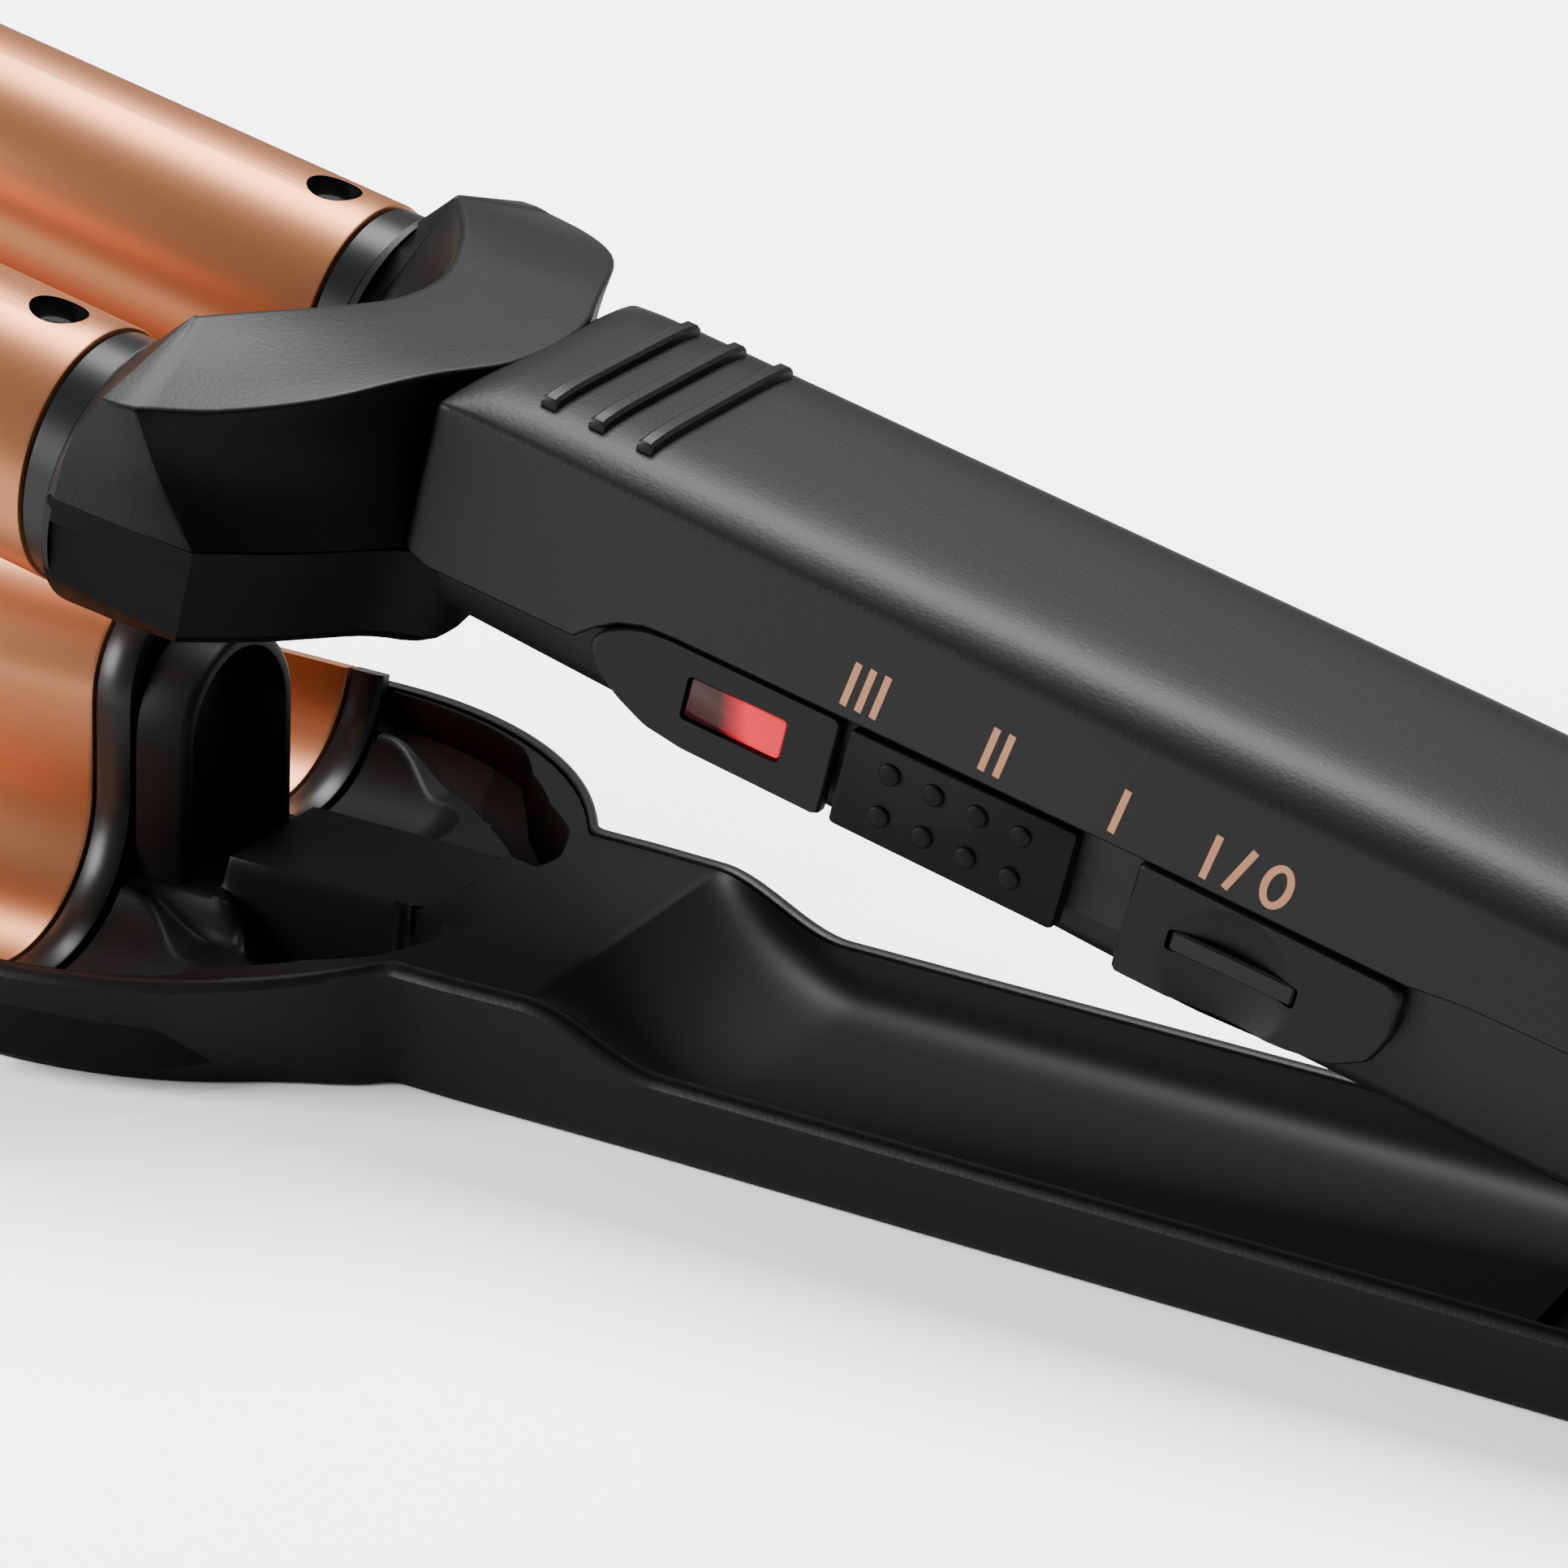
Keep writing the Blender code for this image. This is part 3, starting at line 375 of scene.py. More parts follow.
def chin(u):
    """Lower edge of the upper shell: deep behind the fork, ending in a point, then level by the
    controls."""
    return curve(u, [(24, 1.9), (26.5, 1.0), (40.6, 1.0), (41.0, 1.35), (42.4, 2.6), (44.2, 3.8),
                     (46.5, 4.55), (49, 4.75), (91, 4.7), (115, 4.25), (120, 4.75), (190, 4.8)])


def arch(u, v, half):
    """Rise of the handle's back above its crease: crown (1 - (v / half)^6), crown growing rearward."""
    crown = curve(u, [(24, 0.3), (25.2, 1.1), (27, 1.8), (30, 2.15), (110, 3.3), (170, 3.0), (190, 1.8)])
    return crown * (1 - (abs(v) / half) ** 6)


def handle_section(u, inset=0.0):
    """Near-upright side, a soft corner at the crease, then the arched back."""
    half, top, soft = handle_half(u) - inset, crease(u) - inset, 0.55
    low, lean = chin(u), 0.35
    side = [(half + lean * (1 - t), low + (top - soft - low) * t) for t in np.linspace(0, 1, 7)]
    side[0] = (side[0][0] - 0.25, low)
    side.insert(1, (half + lean - 0.02, low + 0.25))
    start, end = np.array(side[-1]), np.array([half - soft, top + arch(u, half - soft, half)])
    corner = np.array([half, top])
    bend = [(1 - t) ** 2 * start + 2 * t * (1 - t) * corner + t * t * end for t in np.linspace(0, 1, 7)[1:]]
    across = (half - soft) * np.array([.97, .93, .88, .82, .75, .66, .55, .4, .2, 0])
    back = [(v, top + arch(u, v, half)) for v in across]
    right = np.array(side + [tuple(b) for b in bend] + back)
    return np.array([(u, -v, w) for v, w in right] + [(u, v, w) for v, w in right[-2::-1]])


def handle_top():
    stops = [24.25, 24.4, 24.8, 25.5, 26.5, 28, 32, 36, 39, 40.2, 40.6, 41.0, 41.6, 42.4, 43.2, 44.2,
             45.4, 46.5, 48, 50, 56, 64, 72, 80, 88, 91, 98, 106, 112, 115, 117, 120, 130, 140, 150, 160,
             170, 178, 182, 186, 189.6]
    front, roll = 24.0, 0.5           # the front edge rolls in by this much
    rows = [handle_section(front, roll)]
    rows += [handle_section(u, roll * math.exp(-(u - front) * 4)) for u in stops]
    points, faces = skin(rows, caps=True)
    return piece("handle_top", points, faces, SHELL, "upper_arm", smooth=30)


def ribs():
    """Three raised grip bars that follow the handle's back, with small chamfers all round."""
    points, faces = [], []
    first, pitch, long = 32.0, 4.55, 11.7
    for k in range(3):
        u = first + pitch * k
        rows = [(-long, 1.0), (-long, 0.35), (-long + 0.12, 0.1), (-long + 0.45, 0.0)]
        rows += [(v, 0.0) for v in np.linspace(-9, 9, 9)] + [(-v, t) for v, t in rows[::-1]]
        sections = []
        for v, shrink in rows:
            base = crease(u) + arch(u, v, handle_half(u))
            tall = 0.95 * (1 - shrink)
            sections.append([(u - 0.75, v, base - 0.5), (u - 0.72, v, base + 0.72 * tall),
                             (u - 0.42, v, base + tall), (u + 0.42, v, base + tall),
                             (u + 0.72, v, base + 0.72 * tall), (u + 0.75, v, base - 0.5)])
        p, f = skin(sections, closed=True, caps=True)
        faces += [tuple(i + len(points) for i in q) for q in f]
        points += p.tolist()
    return piece("grip_ribs", points, faces, SHELL, "upper_arm", smooth=25)


def under_depth(u):
    """Height of the handle's flat belly."""
    return curve(u, [(24, -3.2), (46, -4.2), (107, -7.2), (131, -7.7), (190, -7.7)])


def under_handle():
    """Lower half of the handle: leaning sides and a flat belly, open above the hinge."""
    half_rows = []
    for u in [25.5, 30, 36, 42, 46, 52, 60, 75, 90, 107, 116, 127, 128, 145, 165, 180, 187, 189.6]:
        k = handle_half(u) / HANDLE_HALF
        low = under_depth(u)
        top = min(chin(u), 4.7) - 0.25
        outer = [(14.6, top), (14.2, top - (top - low) * 0.35), (13.4, low + 1.6), (13.0, low + 0.7),
                 (12.2, low + 0.1), (11.4, low)]
        outer = [(v * k, w) for v, w in outer]
        gap = 0.0 if u < 127.5 or u > 187.5 else 11.2 * k
        half_rows.append(np.array([(u, -v, w) for v, w in outer] + [(u, -gap, low), (u, gap, low)]
                                  + [(u, v, w) for v, w in outer[::-1]]))
    points, faces = skin(half_rows)
    # The belly's middle strip is left out over the rows that pass above the hinge.
    open_side = len(half_rows[0]) // 2 - 1
    width = len(half_rows[0]) - 1
    kept = [f for i, f in enumerate(faces) if not (i % width == open_side and 12 <= i // width < 16)]
    return piece("handle_belly", points, kept, SHELL, "upper_arm", smooth=30)


FORK = fork_top()
handle_top()
ribs()
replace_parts(FORK, "upper_shell")
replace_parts(fork_belly(), "under_shell")
under_handle()


# %% [markdown]
# ## Barrels, collars and their screws

# %%
def tube_ring(radius, v, u, slope=0.0, sides=96):
    """A circle about a barrel's axis whose plane leans: u less slope cos(angle from the top)."""
    a = np.linspace(0, 2 * math.pi, sides, endpoint=False)
    return np.stack([u - slope * np.cos(a), v + radius * np.sin(a), radius * np.cos(a)], -1)


def level_ring(u, v, radius, w, sides=32):
    """A circle about an upright line on the upper arm."""
    angles = np.linspace(0, 2 * math.pi, sides, endpoint=False)
    return [(u + radius * math.cos(a), v + radius * math.sin(a), w) for a in angles]


def countersink(tube, name, v):
    """A round hole through the top of the tube, with a dark cup and a cross-head screw sunk in it."""
    u, hole = -8.9, 2.5
    bottom = [level_ring(u, v, hole, w) for w in (9.0, 12.0)]
    points, faces = skin(bottom, closed=True, caps=True)
    mesh = bpy.data.meshes.new("drill")
    mesh.from_pydata((arm(points) * MM).tolist(), [], faces)
    drill = bpy.data.objects.new("drill", mesh)
    bpy.context.scene.collection.objects.link(drill)
    cut = tube.modifiers.new("screw_hole", "BOOLEAN")
    cut.object, cut.solver = drill, "EXACT"
    graph = bpy.context.evaluated_depsgraph_get()
    tube.data = bpy.data.meshes.new_from_object(tube.evaluated_get(graph))
    tube.modifiers.clear()
    bpy.data.objects.remove(drill)
    cup = [(hole, 10.6), (2.45, 9.4), (1.9, 8.6), (0.2, 8.5)]
    points, faces = skin([level_ring(u, v, r, w) for r, w in cup], closed=True)
    piece(f"{name}_screw_cup", points, faces, COLLAR, "upper_arm")
    head = [(1.95, 8.6), (1.95, 9.1), (1.75, 9.4), (1.3, 9.6), (0.2, 9.66)]
    points, faces = skin([level_ring(u, v, r, w) for r, w in head], closed=True)
    screw = piece(f"{name}_screw_head", points, faces, STEEL, "upper_arm")
    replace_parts(screw, f"{name}_barrel_screw")
    cross = []
    for long, wide in ((2.2, 0.5), (0.5, 2.2)):
        cross += [(u - long / 2, v - wide / 2, 9.7), (u + long / 2, v - wide / 2, 9.7),
                  (u + long / 2, v + wide / 2, 9.7), (u - long / 2, v + wide / 2, 9.7)]
    piece(f"{name}_screw_cross", cross, [(0, 1, 2, 3), (4, 5, 6, 7)], RUBBER, "upper_arm")


def barrel(side, name):
    """One barrel with its screw, leaning collar, flange and the dark neck inside it."""
    v = side * PITCH / 2
    # The outer skin ends in a small rolled edge, and its wall turns in to the bore.
    profile = [(BARREL_R - 0.25, BARREL_TIP, 0), (BARREL_R, BARREL_TIP + 0.3, 0), (BARREL_R, -60, 0),
               (BARREL_R, -3.15, 1.0), (BARREL_R - 0.12, -2.95, 1.0), (BARREL_R - 0.4, -2.9, 1.0),
               (BARREL_R - 1.2, -2.9, 1.0)]
    points, faces = skin([tube_ring(r, v, u, s) for r, u, s in profile], closed=True)
    tube = piece(f"{name}_barrel_skin", points, faces, COPPER, "upper_arm", smooth=40)
    countersink(tube, name, v)
    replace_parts(tube, f"{name}_barrel")
    collar = [(9.8, -2.7, 1.0), (10.5, -2.7, 1.0), (10.72, -2.5, 0.95), (10.8, -0.35, 0.0),
              (10.6, -0.15, 0.0), (10.2, -0.1, 0.0)]
    points, faces = skin([tube_ring(r, v, u, s) for r, u, s in collar], closed=True)
    ring = piece(f"{name}_collar_skin", points, faces, COLLAR, "upper_arm", smooth=30)
    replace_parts(ring, f"{name}_collar")
    flange = [(10.2, -0.1, 0.0), (10.25, 0.1, 0.0), (11.55, 0.12, 0.0), (11.78, 0.25, 0.0),
              (11.78, 0.9, 0.0)]
    points, faces = skin([tube_ring(r, v, u, s) for r, u, s in flange], closed=True)
    piece(f"{name}_flange", points, faces, SHELL, "upper_arm", smooth=30)
    neck = [(7.9, 0.5, 0), (7.5, 0.5, 0), (7.5, 8.0, 0)]
    points, faces = skin([tube_ring(r, v, u, s) for r, u, s in neck], closed=True)
    piece(f"{name}_neck", points, faces, COLLAR, "upper_arm")


barrel(-1, "near")
barrel(1, "far")


# %% [markdown]
# ## Lower arm: tray, liner and wave plate

# %%
def pan_half(x):
    """Half width in plan: a round-ended pan that runs into the straight channel with a small fillet."""
    if x <= PAN_X:
        return PAN_R
    disc = math.sqrt(max(0.0, PAN_R ** 2 - (x - PAN_X) ** 2))
    neck, soft = curve(x, [(30, 18.0), (37, 17.7), (50, 17.2), (186, 17.0)]), 0.5
    return neck + soft * math.log1p(math.exp(min(40.0, (disc - neck) / soft)))


def rim_height(x):
    """Top of the tray's wall: level round the pan, then down a smooth step to the channel."""
    return 11.75 - 3.95 * float(ease((x - 37.0) / 13.0))


def tray():
    """The lower arm's outer moulding: a foot, a flared side, a rolled rim and the wall's inside."""
    stops = [*np.linspace(-122.6, -8, 12), *np.linspace(-7, 32, 100), *np.linspace(33, 54, 32),
             *np.linspace(58, 186, 24)]
    rows = []
    for x in stops:
        half, rim = pan_half(x), rim_height(x)
        lean = 4.4 * float(ease((half - 17.5) / 12.0)) + curve(x, [(25, 1.6), (50, 1.0), (186, 0.8)])
        foot = half - lean
        fall = (half - foot) / (rim - 1.0)
        side = [(foot - 1.3, 0.0), (foot - 0.45, 0.25), (foot, 0.95), (foot + fall * 0.35, 1.35),
                (half - fall * 1.1, rim - 1.1), (half - 0.05, rim - 0.75), (half - 0.3, rim - 0.25),
                (half - 0.8, rim - 0.03), (half - 1.55, rim), (half - 1.75, rim - 0.12),
                (half - 1.8, rim - 0.9), (half - 1.9, rim - 3.2), (foot - 2.1, 2.2), (foot - 3.0, 1.8)]
        rows.append([(x, -y, z) for y, z in side[::-1]] + [(x, y, z) for y, z in side])
    points, faces = skin(rows, closed=True, caps=True)
    return piece("tray", points, faces, SHELL, "lower_arm", still, smooth=40)


def deck(x, y):
    """Height of the liner, its slot apart. In the pan: a bowl that takes the fork's keels, crossed by
    a central rib, with half-pipe scoops that carry the troughs on rearward. Behind the crest it falls
    along a smooth step into a channel whose section is floor + (rim - floor) (y / half)^8."""
    inside = pan_half(x) - LINER_INSET
    if x < 30:
        side = abs(y)
        beside_rib = 9.0 - 6.4 * float(ease((x - 1.0 - 0.25 * (side - 7.0)) / 7.0))
        bowl = 5.4 + 3.2 * float(ease((2.0 - x) / 8.0)) - 0.4 * float(ease((x - 8) / 12))
        z = beside_rib + (bowl - beside_rib) * float(ease((side - 9.0 - 0.5 * max(0.0, x - 4.0)) / 1.6))
        run = max(0.0, x - 2.4)
        pipe = SCOOP_R ** 2 - run ** 2 * 2.2 - (side - PITCH / 2) ** 2
        if pipe > 0:
            z = min(z, AXIS_Z - math.sqrt(pipe))
        return z + (RIB_TOP - z) * float(ease((7.3 - side) / 0.7)) * float(ease((x - 0.5) / 0.8))
    down = min(1.0, max(0.0, x - 37.3) / 16.0)
    floor = 11.45 - 7.95 * (1 - (1 - down) ** 1.8)
    lip = rim_height(x) - 0.3
    return floor + max(0.0, lip - floor) * min(1.0, abs(y) / inside) ** 8


def slot_edge(angle):
    """Inner edge of the deep slot, as a radius about the pan's middle."""
    return curve(abs(angle), [(0, SLOT_R), (55, SLOT_R), (67, 30.5), (90, 31.2)])


def sheet(name, rows):
    """An open sheet of the tray's liner."""
    points, faces = skin(rows)
    return piece(name, points, faces, INSIDE, "lower_arm", still, smooth=50)


def liner():
    """Three sheets: the bowl inside the slot, the slot and shoulder as rings about the pan's middle,
    and the channel. Lines that follow the rib keep their own y, so its flanks stay straight."""
    near = np.array([0, 2, 4, 5.5, 6.2, 6.6, 6.7, 6.8, 6.9, 7.0, 7.1, 7.2, 7.3, 7.5, 8.2, 9.0])
    rows = []
    for x in list(np.arange(-7.0, 21.0, 0.25)) + [21.0, 21.3, 21.45]:
        # The bowl reaches the slot's inner edge, which stands further out toward the pan's sides.
        half = math.sqrt(max(0.01, SLOT_R ** 2 - (x - PAN_X) ** 2))
        for degrees in (60, 65, 70, 75, 80, 85):
            if x < PAN_X + SLOT_R * math.cos(math.radians(degrees - 5)):
                half = max(half, math.sqrt(max(0.01, slot_edge(degrees) ** 2 - (x - PAN_X) ** 2)))
        inner = near * min(1.0, half / 14.0)
        side = np.concatenate([inner, np.linspace(inner[-1], half, 60)[1:]])
        ys = np.concatenate([-side[::-1], side[1:]])
        rows.append([(x, y, deck(x, y)) for y in ys])
    bowl = sheet("tray_liner_bowl", rows)
    rows = []
    for degrees in np.arange(-90.0, 90.01, 0.5):
        a = math.radians(degrees)
        edge = slot_edge(degrees)
        ring = []
        # The shoulder runs out until it meets the tray's wall.
        last = 34.5
        while last < 42.0 and abs(last * math.sin(a)) < pan_half(PAN_X + last * math.cos(a)) - 2.1:
            last += 0.1
        wall = curve(abs(degrees), [(0, 31.75), (12, 31.75), (19, 33.7), (28, 33.7), (38, 32.2), (50, 32.2),
                                    (60, 33.9), (90, 34.0)])
        for r, deep in ((edge, None), (edge + 0.12, None), (edge + 0.3, 2.6), (wall, 2.6),
                        (wall + 0.2, 11.2), (wall + 0.35, 11.42), (34.4, 11.42), (34.5, 11.42),
                        (last, 11.4)):
            # Beside the rib the columns keep their own y instead, so the rib's flank stays straight.
            level = 31.0 * math.sin(a)
            hold = float(ease((22.0 - abs(degrees)) / 6.0))
            y = r * math.sin(a) * (1 - hold) + level * hold
            x = PAN_X + math.sqrt(max(0.0, r * r - y * y))
            z = deck(min(x, 29.9), y) if deep is None else deep
            if abs(y) < 7.35:
                z = max(z, RIB_TOP - 0.46 * float(ease((r - edge) / 4.0)))
            ring.append((x, y, z))
        rows.append(ring)
    sheet("tray_liner_slot", rows)
    rows = []
    for x in (*np.linspace(24.6, 37.3, 14), *np.linspace(37.5, 60, 46), *np.linspace(64, 124, 12)):
        half = pan_half(x) - LINER_INSET
        rows.append([(x, t * half, deck(max(x, 30.0), t * half)) for t in np.linspace(-1, 1, 81)])
    sheet("tray_liner_channel", rows)
    return bowl


def wave_line(offset=0.0, sections=40):
    """Each trough is an arc about its barrel's shut axis; the ridge is two upright flanks under a
    half circle."""
    half = PITCH / 2
    trough, ridge = TROUGH_R + offset, half - TROUGH_R - offset
    line = []
    for a in np.linspace(math.radians(192), math.radians(360), sections):
        line.append((-half + trough * math.cos(a), AXIS_Z + trough * math.sin(a)))
    for a in np.linspace(math.pi, math.pi / 2, 14):
        line.append((ridge * math.cos(a), RIDGE_Z + ridge * math.sin(a)))
    return line + [(-y, z) for y, z in line[-2::-1]]


def wave_strip(name, stations, material):
    """A band between two wave lines; stations are (x, how far the top line sits in, the same for the
    underside)."""
    rows = [[(x, y, z) for y, z in wave_line(top) + wave_line(under)[::-1]] for x, top, under in stations]
    points, faces = skin(rows, closed=True, caps=True)
    return piece(name, points, faces, material, "lower_arm", still, smooth=40)


def boss():
    """Black end block of the wave plate: rounded top, hollow rear face."""
    def outline(half, top, low=2.2):
        arc = [(half * math.cos(a), top - half + half * math.sin(a)) for a in np.linspace(0, math.pi, 25)]
        return [(-half, low), (half, low)] + arc
    rows = [[(x, y, z) for y, z in outline(h, t)] for x, h, t in
            ((-7.2, 8.6, 29.6), (-2.9, 8.6, 29.6), (-2.4, 8.4, 29.4), (-2.15, 8.0, 29.0), (-2.2, 7.3, 28.3),
             (-2.7, 7.0, 28.0), (-6.8, 6.6, 27.6))]
    points, faces = skin(rows, closed=True, caps=True)
    return piece("plate_end_block", points, faces, INSIDE, "lower_arm", still, smooth=40)


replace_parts(tray(), "lower_shell")
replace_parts(liner(), "lower_liner")
PLATE_STATIONS = ((-122.6, 0.15, 1.6), (-122.3, 0, 1.6), (-11.9, 0, 1.6), (-11.6, 0.2, 1.6))
GASKET_STATIONS = ((-11.4, 0.5, 1.7), (-11.0, 0.2, 1.8), (-8.4, 0.25, 1.8), (-7.9, 0.6, 1.7))
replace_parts(wave_strip("wave_plate_skin", PLATE_STATIONS, COPPER), "wave_plate")
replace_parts(wave_strip("gasket_skin", GASKET_STATIONS, COLLAR), "plate_gasket")
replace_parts(boss(), "plate_end_boss")


# %% [markdown]
# ## Controls

# %%
def plate(name, outline, face, back, soft, material, corner=0.4, smooth=40, body="upper_arm"):
    """A flat plate on the control side with a rolled front edge; its outline is (u, w) points."""
    ring = rounded(outline, corner)
    middle = ring.mean(axis=0)
    edge = ring - middle
    long = np.linalg.norm(edge, axis=1, keepdims=True)
    rows = []
    for pull, depth in ((0.0, back), (0.0, face - soft), (soft * 0.3, face - soft * 0.3), (soft, face)):
        r = middle + edge * (1 - pull / np.maximum(long, 1.0))
        rows.append([(u, -depth, w) for u, w in r])
    points, faces = skin(rows, closed=True, caps=True)
    return piece(name, points, faces, material, body, smooth=smooth)


def holed_plate(name, outline, hole, face, back, soft, count=160, sink=None):
    """A plate with a slot: the face is a sheet between the outline and the hole, both walked by angle
    about the hole's middle. sink(u, w) gives how far the face is dished there."""
    middle = np.mean(hole, axis=0)
    angles = np.linspace(-math.pi, math.pi, count, endpoint=False)

    def walk(ring):
        p = rounded(ring, 0.5, 8) - middle
        p = np.vstack([p, p[:1]])
        out = []
        for a in angles:
            d = np.array([math.cos(a), math.sin(a)])
            best = 0.0
            for q, r in zip(p, p[1:]):
                cross = d[0] * (r - q)[1] - d[1] * (r - q)[0]
                if abs(cross) < 1e-12:
                    continue
                t = (q[0] * (r - q)[1] - q[1] * (r - q)[0]) / cross
                s = (q[0] * d[1] - q[1] * d[0]) / cross
                if -1e-9 <= s <= 1 + 1e-9 and t > best:
                    best = t
            out.append(middle + d * best)
        return np.array(out)

    outer, inner = walk(outline), walk(hole)
    rows = [[(u, -back, w) for u, w in outer], [(u, -(face - soft), w) for u, w in outer]]
    for t in [0.02] + list(np.linspace(0.04, 1, 24)):
        ring = outer + (inner - outer) * t
        roll = soft * 0.3 if t < 0.03 else 0
        rows.append([(u, -face + (sink(u, w) if sink else 0.0) + roll, w) for u, w in ring])
    rows.append([(u, -back + 0.2, w) for u, w in inner])
    points, faces = skin(rows, closed=True)
    return piece(name, points, faces, FASCIA, "upper_arm", smooth=32)


def box_outline(u, w, long, high):
    """A rectangle about (u, w)."""
    return [(u - long / 2, w - high / 2), (u + long / 2, w - high / 2),
            (u + long / 2, w + high / 2), (u - long / 2, w + high / 2)]


def dish(u, w):
    """Finger dish: a ball of radius 14 pressed into the face about the key's lower edge."""
    far2 = (u - 101.3) ** 2 + (w + 1.6) ** 2
    return max(0.0, 1.15 - far2 / 28.0)


def dots():
    """Eight round studs in two rows on the slider pad."""
    points, faces = [], []
    angles = np.linspace(0, 2 * math.pi, 20, endpoint=False)
    along, down = 3.97, 3.85          # spacing of the studs in a row, and of the two rows
    for k in range(8):
        u, w = 70.2 + along * (k % 4), 2.05 - down * (k // 4)
        rows = []
        for r, v in ((0.95, 15.9), (0.93, 16.1), (0.85, 16.22), (0.7, 16.28)):
            rows.append([(u + r * math.cos(a), -v, w + r * math.sin(a)) for a in angles])
        p, f = skin(rows, closed=True, caps=True)
        faces += [tuple(i + len(points) for i in q) for q in f]
        points += p.tolist()
    return piece("pad_studs", points, faces, GRIP, "heat_slider_body", smooth=60)


LEAF_TOP = 4.45
# Outlines of the lamp's leaf-shaped fascia, the key's fascia behind the pad, and the pad itself.
LEAF = [(65.05, LEAF_TOP), (49.0, LEAF_TOP + 0.1), (46.5, 4.3), (44.4, 3.5), (42.7, 2.3), (42.1, 1.1),
        (43.0, -0.6), (45.5, -2.3), (48.5, -3.6), (52.1, -4.1), (65.05, -4.3)]
TAIL = [(92.0, LEAF_TOP), (92.0, -5.35), (100.0, -5.5), (107.4, -5.2), (111.5, -4.6), (114.2, -2.9),
        (115.2, -0.4), (115.2, 3.2), (114.7, 3.95)]
PAD = [(66.0, 4.25), (66.0, -4.2), (86.6, -4.45), (86.6, 4.3)]

LAMP_HOLE = box_outline(56.05, 0.45, 9.3, 3.9)
LAMP_PANE = box_outline(56.05, 0.45, 8.9, 3.5)
KEY_SLOT = box_outline(101.5, -0.65, 11.4, 2.0)
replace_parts(holed_plate("lamp_fascia", LEAF, LAMP_HOLE, PANEL_V, 14.6, 0.35), "lamp_panel")
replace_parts(plate("lamp_window", LAMP_PANE, PANEL_V - 0.3, 14.3, 0.15, LENS), "lamp_lens")
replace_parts(holed_plate("key_fascia", TAIL, KEY_SLOT, PANEL_V, 14.6, 0.35, sink=dish), "rear_panel")
PAD_PIECE = plate("slider_pad", PAD, PANEL_V + 0.05, 14.4, 0.3, GRIP, corner=0.5,
                  body="heat_slider_body")
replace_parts(PAD_PIECE, "heat_slider")
dots()


def flank(u, w):
    """How far out the handle's side stands at (u, w), following the same lean as its section."""
    low, high = chin(u), crease(u) - 0.9
    return handle_half(u) + 0.35 * (1 - (w - low) / (high - low))


def stroke(points, faces, path, wide):
    """Adds a flat printed line along a (u, w) path, just proud of the handle's side."""
    p = np.asarray(path, float)
    base = len(points)
    for i, (u, w) in enumerate(p):
        ahead = p[min(i + 1, len(p) - 1)] - p[max(i - 1, 0)]
        across = np.array([-ahead[1], ahead[0]]) / np.linalg.norm(ahead) * wide / 2
        for s in (-1, 1):
            uu, ww = np.array([u, w]) + s * across
            points.append((uu, -flank(uu, ww) - 0.03, ww))
    for i in range(len(p) - 1):
        a = base + 2 * i
        faces.append((a, a + 1, a + 3, a + 2))


def scale_marks():
    """Three, two and one bars for the heat steps, then a bar, a slash and a ring for the switch."""
    points, faces, lean = [], [], 0.12
    tall, wide = 3.9, 0.62

    def bar(u, w, tilt=lean):
        path = [(u - tilt * tall / 2, w - tall / 2), (u + tilt * tall / 2, w + tall / 2)]
        stroke(points, faces, path, wide)

    for middle, count, w in ((66.4, 3, 7.85), (78.3, 2, 7.8), (89.3, 1, 7.7)):
        for k in range(count):
            bar(middle + 1.35 * (k - (count - 1) / 2), w)
    bar(97.4, 7.45)
    bar(99.9, 7.45, 0.42)
    ring = [(103.1 + 1.0 * math.cos(a) + lean * 1.65 * math.sin(a), 7.45 + 1.65 * math.sin(a))
            for a in np.linspace(0, 2 * math.pi, 33)]
    stroke(points, faces, ring, wide)
    return piece("scale_marks", points, faces, PRINT, "upper_arm", smooth=60)


scale_marks()


# %% [markdown]
# ## Floor, light and camera

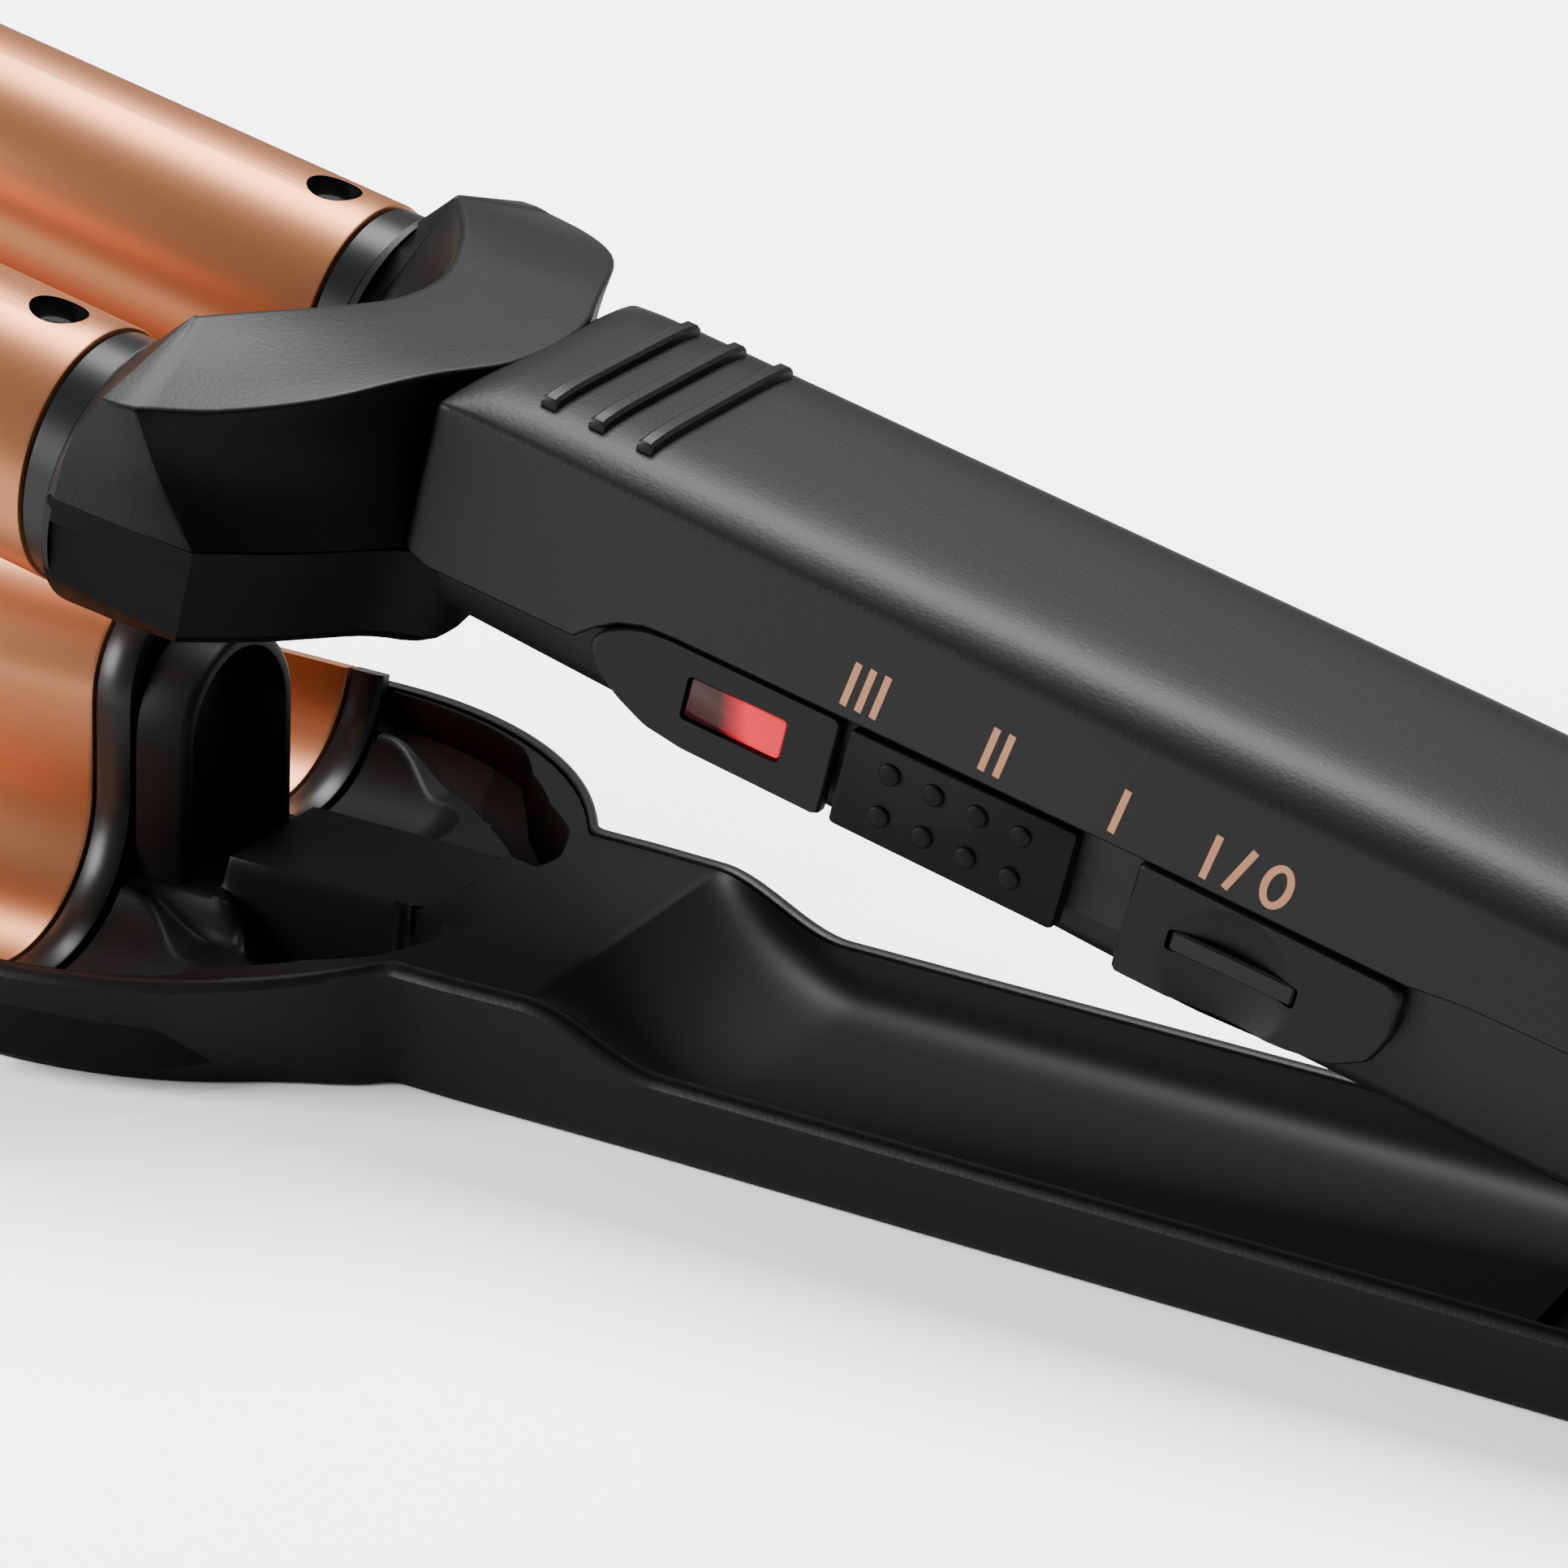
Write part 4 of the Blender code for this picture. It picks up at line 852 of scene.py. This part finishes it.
# %%
def stage():
    """A white paper sweep under the object and an even white surround."""
    mesh = bpy.data.meshes.new("paper_sweep")
    far, back = 3.0, 6.0
    mesh.from_pydata([(-far, -far, 0), (far, -far, 0), (far, back, 0), (-far, back, 0)], [], [(0, 1, 2, 3)])
    floor = bpy.data.objects.new("paper_sweep", mesh)
    bpy.context.scene.collection.objects.link(floor)
    paper, shader = surface("white_paper", "f4f4f3", 0.9)
    mesh.materials.append(paper)
    # The sweep is lit to a clean white: seen directly its colour goes past white, but it lights the
    # object as plain white paper.
    path = add(paper.node_tree, "ShaderNodeLightPath")
    tone = add(paper.node_tree, "ShaderNodeMix", {"Factor": path.outputs["Is Camera Ray"]},
               data_type="RGBA")
    plain, clean_white = (0.85, 0.85, 0.84, 1), (3.0, 3.0, 2.97, 1)
    tone.inputs["A"].default_value = plain
    tone.inputs["B"].default_value = clean_white
    paper.node_tree.links.new(tone.outputs["Result"], shader.inputs["Base Color"])
    world = bpy.data.worlds.new("studio")
    bpy.context.scene.world = world
    world.use_nodes = True
    world.node_tree.nodes["Background"].inputs["Color"].default_value = (1, 1, 1, 1)
    world.node_tree.nodes["Background"].inputs["Strength"].default_value = 0.26


def softbox(name, place, aim, size, power):
    """A rectangular area lamp turned toward a point; lengths in metres."""
    light = bpy.data.lights.new(name, "AREA")
    light.shape = "RECTANGLE"
    light.size, light.size_y = size
    light.energy = power
    lamp = bpy.data.objects.new(name, light)
    lamp.location = place
    lamp.rotation_euler = (Vector(aim) - Vector(place)).to_track_quat("-Z", "Y").to_euler()
    bpy.context.scene.collection.objects.link(lamp)


def camera():
    """Looks down at 23 degrees from 27.65 degrees round toward the cord end, rolled 2.8 degrees."""
    a, e, roll = (math.radians(d) for d in (27.65, 23.0, 2.80))
    away = Vector((math.sin(a) * math.cos(e), -math.cos(a) * math.cos(e), math.sin(e)))
    right = Vector((math.cos(a), math.sin(a), 0))
    up = away.cross(right)
    across = right * math.cos(roll) + up * math.sin(roll)
    above = up * math.cos(roll) - right * math.sin(roll)
    data = bpy.data.cameras.new("camera")
    data.sensor_width = 36
    data.lens = 133.9
    data.clip_start = 0.02
    cam = bpy.data.objects.new("camera", data)
    turn = Matrix((across, above, away)).transposed().to_4x4()
    look, distance = Vector((0.05152, 0, 0.02864)), 0.4822
    cam.matrix_world = Matrix.Translation(look + away * distance) @ turn
    bpy.context.scene.collection.objects.link(cam)
    bpy.context.scene.camera = cam


stage()
softbox("top_softbox", (0.0, 0.40, 0.98), (0.02, 0, 0), (0.75, 0.45), 17.5)
softbox("left_softbox", (-0.70, -0.60, 0.36), (-0.05, 0, 0.05), (0.45, 0.45), 10)
camera()
